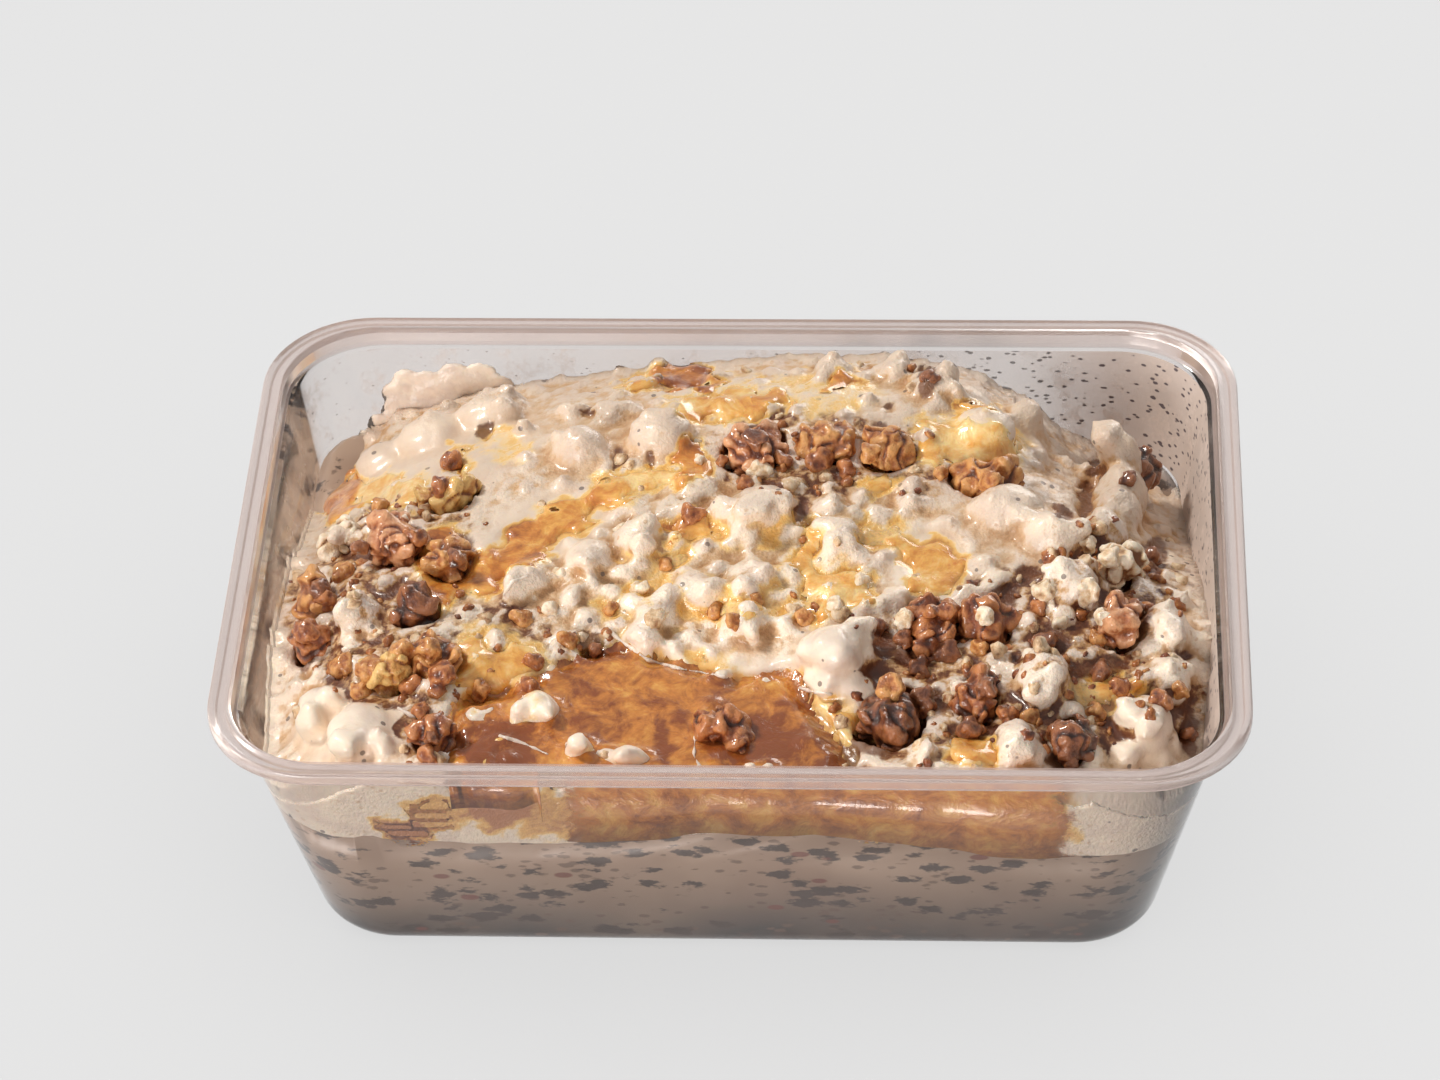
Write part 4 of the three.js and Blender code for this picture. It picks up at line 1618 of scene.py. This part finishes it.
@dataclass
class Tub:
    """The clear tub: tapered wall, rounded floor, stepped rim with a turned-down lip."""

    finish: ClearPlastic
    rim_finish: ClearPlastic
    contour: Contour = CONTOUR
    corner_steps: int = 14
    fillet_steps: int = 6
    fillet: float = 0.0044
    foot: float = 0.004
    recess: float = 0.0008
    lip: float = 0.0022
    flange: float = 0.0011
    ledge: float = 0.0032
    ledge_width: float = 0.0011

    def ring(
        self, mesh: bmesh.types.BMesh, size: tuple[float, float, float], z: float
    ) -> list[bmesh.types.BMEdge]:
        """Adds one ring of the wall, a rounded rectangle of edges.

        Args:
            mesh: The mesh that it is added to.
            size: Half length, half width and corner radius.
            z: Its height.

        Returns:
            The edges of the ring.
        """
        half_x, half_y, radius = size
        place = Matrix.Translation((0, 0, z)) @ Matrix.Diagonal((half_x, half_y, 1, 1))
        corners = bmesh.ops.create_grid(
            mesh, x_segments=1, y_segments=1, size=1, matrix=place
        )["verts"]
        rounded = bmesh.ops.bevel(
            mesh,
            geom=corners,
            offset=radius,
            offset_type="OFFSET",
            affect="VERTICES",
            segments=self.corner_steps,
            profile=0.5,
            material=-1,
        )
        face = rounded["verts"][0].link_faces[0]
        edges = list(face.edges)
        bmesh.ops.delete(mesh, geom=[face], context="FACES_ONLY")
        return edges

    def fillet_levels(self, low: float, fillet: float, inset: float) -> list[tuple]:
        """Levels of a rounded bottom edge, from its low end to the wall."""
        levels = []
        for step in range(self.fillet_steps + 1):
            angle = step / self.fillet_steps * math.pi / 2
            z = low + fillet * (1 - math.cos(angle))
            levels.append((self.contour.at(z, inset + fillet * (1 - math.sin(angle))), z))
        return levels

    def levels(self) -> list[tuple]:
        """Size and height of every ring, from the middle of the foot round to the inner floor."""
        wall = self.contour
        top = wall.height
        under = top - self.flange
        ledge = top - self.ledge
        outside = [
            (wall.at(self.recess, self.fillet + self.foot + self.recess), self.recess),
            (wall.at(0, self.fillet + self.foot), 0.0),
            *self.fillet_levels(0.0, self.fillet, 0.0),
            (wall.at(ledge - 0.0004, 0), ledge - 0.0004),
            (wall.at(under, 0), under),
            (wall.rim(0.0011), under),
            (wall.rim(0.0011), top - self.lip + 0.0001),
            (wall.rim(0.0009), top - self.lip),
            (wall.rim(0.0002), top - self.lip),
            (wall.rim(0.0), top - self.lip + 0.0002),
            (wall.rim(0.0), top - 0.0006),
            (wall.rim(0.00015), top - 0.0002),
            (wall.rim(0.0005), top),
            (wall.rim(0.0011), top - 0.0001),
            (wall.rim(0.0016), top - 0.0004),
            (wall.rim(0.0026), top - 0.00045),
            (wall.rim(0.003), top - 0.0001),
            (wall.rim(0.0034), top),
        ]
        inside = [
            (wall.at(top, -0.0002), top - 0.0001),
            (wall.at(top - 0.0006, 0), top - 0.0006),
            (wall.at(ledge + 0.0006, wall.wall - self.ledge_width), ledge + 0.0006),
            (wall.at(ledge + 0.0001, wall.wall - 0.0006), ledge + 0.0001),
            (wall.at(ledge - 0.0003, wall.wall), ledge - 0.0003),
            *reversed(
                self.fillet_levels(self.recess + wall.wall, self.fillet - wall.wall, wall.wall)
            ),
        ]
        return outside + inside

    def build(self) -> bpy.types.Object:
        """Makes the piece."""
        mesh = bmesh.new()
        rings = [self.ring(mesh, size, z) for size, z in self.levels()]
        for low, high in zip(rings, rings[1:]):
            bmesh.ops.bridge_loops(mesh, edges=[*low, *high])
        bmesh.ops.contextual_create(mesh, geom=rings[0])
        bmesh.ops.contextual_create(mesh, geom=rings[-1])
        bmesh.ops.recalc_face_normals(mesh, faces=mesh.faces)
        piece = new_piece("clear_tub", mesh, self.finish.material())
        piece.data.materials.append(self.rim_finish.material())
        ledge = self.contour.height - self.ledge
        for face in piece.data.polygons:
            face.material_index = int(face.center.z > ledge)
        piece.data.set_sharp_from_angle(angle=math.radians(50))
        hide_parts("tub")
        return piece


@dataclass
class WallMarks:
    """What sticks to the inside of the wall above the food: a milk film and a smear of cream."""

    tub: Tub
    lens: Lens
    low: float = 0.030
    high: float = 0.0485
    gap: float = 0.03 * MM
    thickness: float = 0.06 * MM
    smear_depth: float = 0.5 * MM
    voxel: float = 0.4 * MM
    seed: int = 61
    smear: tuple[tuple[float, float, float], ...] = (
        (396, 394, 16), (406, 380, 15), (428, 386, 20), (455, 376, 19), (480, 375, 18),
        (500, 388, 17), (400, 412, 20), (440, 402, 28), (472, 394, 26), (528, 394, 11),
        (380, 424, 15), (420, 420, 24), (450, 418, 26), (456, 392, 24), (505, 402, 16),
        (366, 438, 12), (395, 436, 18),
    )

    def film(self) -> bpy.types.Object:
        """Makes the film, a thin closed band along the inside of the wall."""
        wall = self.tub.contour
        mesh = bmesh.new()
        inset = wall.wall + self.gap
        rings = [self.tub.ring(mesh, wall.at(z, inset), z) for z in (self.low, self.high)]
        bmesh.ops.bridge_loops(mesh, edges=[*rings[0], *rings[1]])
        bmesh.ops.recalc_face_normals(mesh, faces=mesh.faces)
        bmesh.ops.solidify(mesh, geom=mesh.faces[:], thickness=self.thickness)
        bmesh.ops.recalc_face_normals(mesh, faces=mesh.faces)
        piece = new_piece("milk_film", mesh, MilkFilm().material())
        piece.data.set_sharp_from_angle(angle=math.radians(40))
        return piece

    def cream(self, tub_node: bpy.types.Object) -> bpy.types.Object:
        """Makes the smear of cream on the back wall.

        Args:
            tub_node: The CAD tub that it sticks to.

        Returns:
            The piece.
        """
        tree = surface_of(tub_node)
        rule = random.Random(self.seed)
        mesh = bmesh.new()
        for across, down, wide in self.smear:
            hit, _, _, _ = tree.ray_cast(self.lens.eye(), self.lens.ray(across, down))
            size = wide * (hit - self.lens.eye()).length / self.lens.focal
            half = Vector((size, self.smear_depth, size * rule.uniform(0.8, 1.1)))
            lump(mesh, hit, half, Euler((0, 0, 0)), 3)
        piece = new_piece("wall_cream", mesh, WallCream().material())
        remeshed(piece, self.voxel)
        data = piece.data
        points = relaxed(data, points_of(data), 2)
        points += normals_of(data) * (0.2 * MM * swell(points, 3 * MM, 2))[:, None]
        move_points(data, CONTOUR.press(points, 0.1 * MM, 0.3 * MM))
        return piece


@dataclass
class HoneyPool:
    """The pool at the front, with the sheet of honey that runs down the front wall."""

    ground: Ground
    cell: float = 0.8 * MM
    level: float = 46.1 * MM
    depth: float = 5.5 * MM
    strip: float = 2.7 * MM
    strip_from: float = -30 * MM
    strip_to: float = 60 * MM
    strip_fade: float = 9 * MM
    rise: float = 1.1 * MM
    fade: float = 1.5 * MM
    wall_rise: float = 2.6 * MM
    edge_depth: float = 0.3 * MM
    edge_slope: float = 0.45 * MM
    edge_rings: int = 6
    foot_inset: float = 50.5 * MM
    foot_wave: float = 1.2 * MM
    wander: float = 2.2
    wander_size: float = 6.0
    outline: tuple = (
        (-44, -60), (-47, -48), (-46, -37), (-41, -32), (-34, -31), (-28, -25), (-19, -21.5),
        (-9, -25), (0, -28), (9, -28), (13, -34), (19, -44), (21, -60),
    )

    def build(
        self, cream: bpy.types.Object, pudding: bpy.types.Object, material: bpy.types.Material
    ) -> bpy.types.Object:
        """Makes the pool.

        Args:
            cream: The heap that it lies in.
            pudding: The pudding that the sheet runs down to.
            material: Its material.

        Returns:
            The piece.
        """
        mesh = bmesh.new()
        columns = round(0.13 / self.cell)
        rows = round(0.044 / self.cell)
        place = Matrix.Translation((0.005, -0.037, 0)) @ Matrix.Diagonal((0.065, 0.022, 1, 1))
        bmesh.ops.create_grid(mesh, x_segments=columns, y_segments=rows, size=1, matrix=place)
        spare = [face for face in mesh.faces if not self.holds(face.calc_center_median())]
        bmesh.ops.delete(mesh, geom=spare, context="FACES")
        surface = surface_of(cream)
        cover = mesh.verts.layers.float.new("cover")
        for vert in mesh.verts:
            vert[cover] = 1.0
        shore = {vert for vert in mesh.verts if vert.is_boundary and self.to_wall(vert) < -self.fade}
        reached = set(shore)
        for ring in range(self.edge_rings):
            for vert in shore:
                vert.co.z = ring * self.edge_slope - self.edge_depth
                vert[cover] = 0.4 + 0.3 * ring
            near = {edge.other_vert(vert) for vert in shore for edge in vert.link_edges}
            shore = near - reached
            reached |= near
        edge = {vert for vert in reached - shore}
        for vert in mesh.verts:
            here = Vector((vert.co.x, vert.co.y, self.level))
            _, _, _, gap = surface.find_nearest(here)
            climb = self.wall_rise * math.exp(min(0.0, self.to_wall(vert)) / self.fade)
            top = self.level + max(self.rise * math.exp(-gap / self.fade), climb)
            if vert in edge and not self.near_wall(here.x, here.y):
                bed, _, _, _ = surface.ray_cast(here + Vector((0, 0, 0.02)), Vector((0, 0, -1)))
                if bed is not None:
                    top = min(top, bed.z + vert.co.z)
            ends = min(here.x - self.strip_from, self.strip_to - here.x) / self.strip_fade
            if self.near_wall(here.x, here.y, self.cell):
                vert[cover] = max(-0.5, min(1.0, ends * 0.8))
            vert.co.z = top
        low = bmesh.ops.extrude_face_region(mesh, geom=mesh.faces[:])
        bed = surface_of(pudding)
        for item in low["geom"]:
            if isinstance(item, bmesh.types.BMVert):
                self.sink(item, bed)
        bmesh.ops.recalc_face_normals(mesh, faces=mesh.faces)
        piece = new_piece("honey_front_pool", mesh, material)
        points = points_of(piece.data)
        deep = Area(self.ground, DEEP_SPOTS).value(points, 10)
        away, _ = CONTOUR.beyond(points, CONTOUR.wall)
        inland = np.clip(-away / self.strip - 0.5, 0, 1)
        write_value(piece.data, "level", 0.63 + 0.05 * inland + 0.4 * deep)
        move_points(piece.data, CONTOUR.press(points, 0.24 * MM, 1.2 * MM))
        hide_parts("honey_pool")
        return piece

    def to_wall(self, vert: bmesh.types.BMVert) -> float:
        """How far a point of the pool is from the wall, negative inside it."""
        here = np.array([(vert.co.x, vert.co.y, self.level)])
        gap, _ = CONTOUR.beyond(here, CONTOUR.wall)
        return float(gap[0])

    def near_wall(self, x: float, y: float, spare: float = 0.0) -> bool:
        """Whether a place in plan is in the sheet along the front wall, or this near to it."""
        _, half_y, _ = CONTOUR.at(self.level, CONTOUR.wall)
        beside = self.strip_from - spare < x < self.strip_to + spare
        return beside and y < self.strip - half_y

    def holds(self, place: Vector) -> bool:
        """Whether honey lies at a place in plan."""
        inside, _ = CONTOUR.beyond(np.array([[place.x, place.y, self.level]]), CONTOUR.wall - 0.3 * MM)
        if inside[0] > 0:
            return False
        if self.near_wall(place.x, place.y):
            return True
        x, y = place.x / MM, place.y / MM
        bend = noise.noise_vector(Vector((x, y, 0)) / self.wander_size) * self.wander
        return self.in_outline(x + bend.x, y + bend.y)

    def in_outline(self, x: float, y: float) -> bool:
        """Whether a place in plan, in millimetres, is inside the pool's outline."""
        inside = False
        corners = [Vector((a, b)) for a, b in self.outline]
        middle = sum(corners, Vector((0, 0))) / len(corners)
        grown = [middle + (corner - middle) * 1.03 for corner in corners]
        for (from_x, from_y), (to_x, to_y) in zip(grown, [*grown[1:], grown[0]]):
            if (from_y > y) != (to_y > y):
                if x < from_x + (y - from_y) / (to_y - from_y) * (to_x - from_x):
                    inside = not inside
        return inside

    def sink(self, vert: bmesh.types.BMVert, bed: BVHTree) -> None:
        """Puts a point of the pool's underside on its bed, or at the foot of the sheet."""
        top = vert.co.z
        above = Vector((vert.co.x, -self.foot_inset, self.level))
        low = self.level - self.depth + 2.5 * MM * noise.noise(above / (6 * MM))
        if self.near_wall(vert.co.x, vert.co.y, self.cell):
            foot, _, _, _ = bed.ray_cast(above, Vector((0, 0, -1)))
            low = foot.z + self.foot_wave * (noise.noise(above / (7 * MM)) - 0.8)
        lean = (CONTOUR.top_width - CONTOUR.base_width) / 2 / CONTOUR.top
        vert.co.z = low
        vert.co.y += lean * (top - low)


@dataclass
class HighlightThreads:
    """Thin pale threads along the edge of the honey: painted highlights where its edge would catch the light."""

    ground: Ground
    radius: float = 0.55 * MM
    stops: int = 14
    voxel: float = 0.25 * MM
    curves: tuple[tuple[tuple[float, float], ...], ...] = (
        ((612, 634), (648, 660), (675, 668), (727, 677)),
        ((707, 719), (695, 738), (694, 756), (704, 774)),
        ((500, 736), (525, 744), (549, 755)),
        ((800, 688), (815, 692), (832, 694)),
        ((527, 576), (512, 582), (503, 596)),
        ((398, 708), (412, 716), (424, 716)),
    )

    def build(
        self, pieces: tuple[bpy.types.Object, ...], material: bpy.types.Material
    ) -> bpy.types.Object:
        """Makes the threads where the view meets the honey and the cream.

        Args:
            pieces: What they lie on.
            material: Their material.

        Returns:
            The piece.
        """
        tree = surface_of(*pieces)
        lens = self.ground.lens
        mesh = bmesh.new()
        for curve in self.curves:
            for (from_x, from_y), (to_x, to_y) in zip(curve, curve[1:]):
                for step in range(self.stops):
                    share = step / self.stops
                    way = lens.ray(from_x + (to_x - from_x) * share, from_y + (to_y - from_y) * share)
                    hit, _, _, _ = tree.ray_cast(lens.eye(), way)
                    swollen = self.radius * (0.75 + 0.6 * noise.noise(hit / (1.5 * MM)))
                    lump(mesh, hit, Vector((swollen, swollen, swollen)), Euler((0, 0, 0)), 1)
        piece = new_piece("painted_highlight_threads", mesh, material)
        remeshed(piece, self.voxel)
        data = piece.data
        points = relaxed(data, points_of(data), 2)
        move_points(data, CONTOUR.press(points, 0.1 * MM, 0.0))
        return piece


@dataclass
class HoneyGlaze:
    """Thin honey that has run over the cream, cut from the skin of the heap."""

    threshold: float = 0.3
    edge: float = 0.2
    thickness: float = 0.6 * MM
    burial: float = 1.6 * MM
    smoothing: int = 10
    voxel: float = 0.5 * MM

    def build(
        self, name: str, nodes: tuple[str, ...], cream: bpy.types.Object,
        material: bpy.types.Material, keep: Callable[[Vector], bool],
        soaked: Callable[[np.ndarray], np.ndarray],
    ) -> bpy.types.Object:
        """Makes one glaze.

        Args:
            name: Name of the piece.
            nodes: The CAD nodes that it stands for.
            cream: The heap that it lies on.
            material: Its material.
            keep: Tells whether a place belongs to this glaze.
            soaked: Gives how much honey lies at each point.

        Returns:
            The piece.
        """
        mesh = bmesh.new()
        mesh.from_mesh(cream.data)
        layer = mesh.verts.layers.float["honey"]
        spare = [
            face for face in mesh.faces
            if face.normal.z < -0.2
            or min(vert[layer] for vert in face.verts) < self.threshold
            or not keep(face.calc_center_median())
        ]
        bmesh.ops.delete(mesh, geom=spare, context="FACES")
        for _ in range(self.smoothing):
            bmesh.ops.smooth_vert(
                mesh, verts=[v for v in mesh.verts if not v.is_boundary], factor=0.5,
                use_axis_x=True, use_axis_y=True, use_axis_z=True,
            )
        mesh.normal_update()
        for vert in mesh.verts:
            share = (vert[layer] - self.threshold) / (1 - self.threshold)
            edge = 0.0 if vert.is_boundary else min(1.0, 0.35 + share * 1.6)
            vert.co += vert.normal * (self.thickness * edge - 0.08 * MM)
        low = bmesh.ops.extrude_face_region(mesh, geom=mesh.faces[:])
        for item in low["geom"]:
            if isinstance(item, bmesh.types.BMVert):
                item.co.z -= self.burial
        bmesh.ops.recalc_face_normals(mesh, faces=mesh.faces)
        piece = new_piece(name, mesh, material)
        remeshed(piece, self.voxel)
        data = piece.data
        smooth = relaxed(data, points_of(data), 3)
        level = soaked(smooth)
        write_value(data, "level", level * 0.95 - 0.15)
        write_value(data, "cover", np.clip((level - self.threshold) / self.edge, 0, 1))
        move_points(data, CONTOUR.press(smooth, 0.2 * MM, 0.3 * MM))
        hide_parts(*nodes)
        return piece


@dataclass
class Studio:
    """Plain pale floor and soft light."""

    floor: StudioFloor
    half_floor: float = 3.0
    key_from: Colour = (-0.62, 0.24, 0.74)
    key_size: float = 0.42
    key_power: float = 40.0
    key_tone: Colour = (1.0, 0.95, 0.88)
    fill_from: Colour = (-0.45, -0.88, 0.14)
    fill_size: float = 1.3
    fill_power: float = 53.0
    fill_tone: Colour = (1.0, 0.96, 0.92)
    behind_from: Colour = (0.3, 0.93, 0.2)
    behind_power: float = 18.0
    distance: float = 2.4
    overhead: float = 3.0
    overhead_size: float = 1.5
    floor_power: float = 152.0
    sky: Colour = (0.38, 0.375, 0.375)

    def build(self) -> None:
        """Makes the floor, the lamps and the sky."""
        mesh = bmesh.new()
        bmesh.ops.create_grid(mesh, x_segments=1, y_segments=1, size=self.half_floor)
        floor = new_piece("floor", mesh, self.floor.material())
        key = self.lamp("key", self.key_from, self.distance, self.key_size, self.key_power)
        key.data.color = self.key_tone
        fill = self.lamp("fill", self.fill_from, self.distance, self.fill_size, self.fill_power)
        fill.data.color = self.fill_tone
        behind = self.lamp(
            "behind", self.behind_from, self.distance, self.fill_size, self.behind_power
        )
        behind.data.color = self.fill_tone
        overhead = self.lamp(
            "overhead", (0, 0, 1), self.overhead, self.overhead_size, self.floor_power
        )
        ground = bpy.data.collections.new("ground")
        ground.objects.link(floor)
        others = bpy.data.collections.new("others")
        others.objects.link(floor)
        others.collection_objects[0].light_linking.link_state = "EXCLUDE"
        key.light_linking.receiver_collection = others
        fill.light_linking.receiver_collection = others
        behind.light_linking.receiver_collection = others
        overhead.light_linking.receiver_collection = ground
        overhead.light_linking.blocker_collection = ground
        world = bpy.data.worlds.new("studio")
        world.use_nodes = True
        world.node_tree.nodes["Background"].inputs["Color"].default_value = (*self.sky, 1)
        bpy.context.scene.world = world
        bpy.context.scene.view_settings.view_transform = "Standard"
        bpy.context.scene.cycles.caustics_reflective = False
        bpy.context.scene.cycles.caustics_refractive = False

    def lamp(
        self, name: str, way: Colour, distance: float, size: float, power: float
    ) -> bpy.types.Object:
        """Adds a round soft lamp that faces the food.

        Args:
            name: Its name.
            way: Direction from the food to the lamp.
            distance: Its distance.
            size: Its width.
            power: Its power in watts.

        Returns:
            The lamp.
        """
        data = bpy.data.lights.new(name, "AREA")
        data.shape = "DISK"
        data.size = size
        data.energy = power
        lamp = bpy.data.objects.new(name, data)
        bpy.context.scene.collection.objects.link(lamp)
        lamp.location = Vector((0, 0, 0.04)) + Vector(way).normalized() * distance
        lamp.rotation_euler = Vector(way).to_track_quat("Z", "Y").to_euler()
        return lamp


def main() -> None:
    """Builds the looks in order and reports each piece."""
    logging.basicConfig(level=logging.INFO, format="%(message)s")
    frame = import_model()
    nodes = frame["nodes"]
    lens = Lens()
    lens.build()
    ground = Ground(frame, lens)

    rim_finish = ClearPlastic("clear_plastic_rim", haze_share=0.26, roughness=0.16)
    tub = Tub(ClearPlastic(), rim_finish)
    pieces = [tub.build()]
    marks = WallMarks(tub, lens)
    pieces += [marks.film(), marks.cream(nodes["tub"])]
    pudding = MilkPuddingBlock(MilkPudding()).build(nodes["pudding"])
    pieces.append(pudding)
    heap = CreamHeap(ground, Cream())
    cream = heap.build(nodes)
    pieces.append(cream)
    pieces += Walnuts().build(nodes)
    pieces += [SmallNuts(ground).build(kind) for kind in NUT_BITS]
    for name, look, crumbs in (
        ("crumbs_tan", WalnutLook.TAN, Crumbs(ground, 800, 0.5, 1.8, 3, 0.004)),
        ("crumbs_brown", WalnutLook.RED, Crumbs(ground, 400, 0.5, 1.5, 4, 0.0)),
        ("crumbs_pale", WalnutLook.COATED, Crumbs(ground, 500, 0.8, 2.2, 5, 0.05)),
    ):
        pieces.append(crumbs.build(name, cream, bpy.data.materials[look.value.name]))
    honey = Honey().material()
    pool = HoneyPool(ground)
    pieces.append(pool.build(cream, pudding, honey))
    # Pale threads in the wall cream material: painted highlights along the honey's edges.
    threads = HighlightThreads(ground)
    pieces.append(threads.build((cream, pieces[-1]), bpy.data.materials["wall_cream"]))
    pieces.append(
        HoneyGlaze().build(
            "honey_glaze",
            ("honey_right", "honey_streak", "honey_back", "honey_crest", "honey_left"),
            cream,
            honey,
            lambda place: not pool.holds(place),
            heap.soaked,
        )
    )
    for piece in pieces:
        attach(piece, BODY)
        log.info("%s: %d faces", piece.name, len(piece.data.polygons))
    Studio(StudioFloor()).build()


if __name__ == "__main__":
    main()
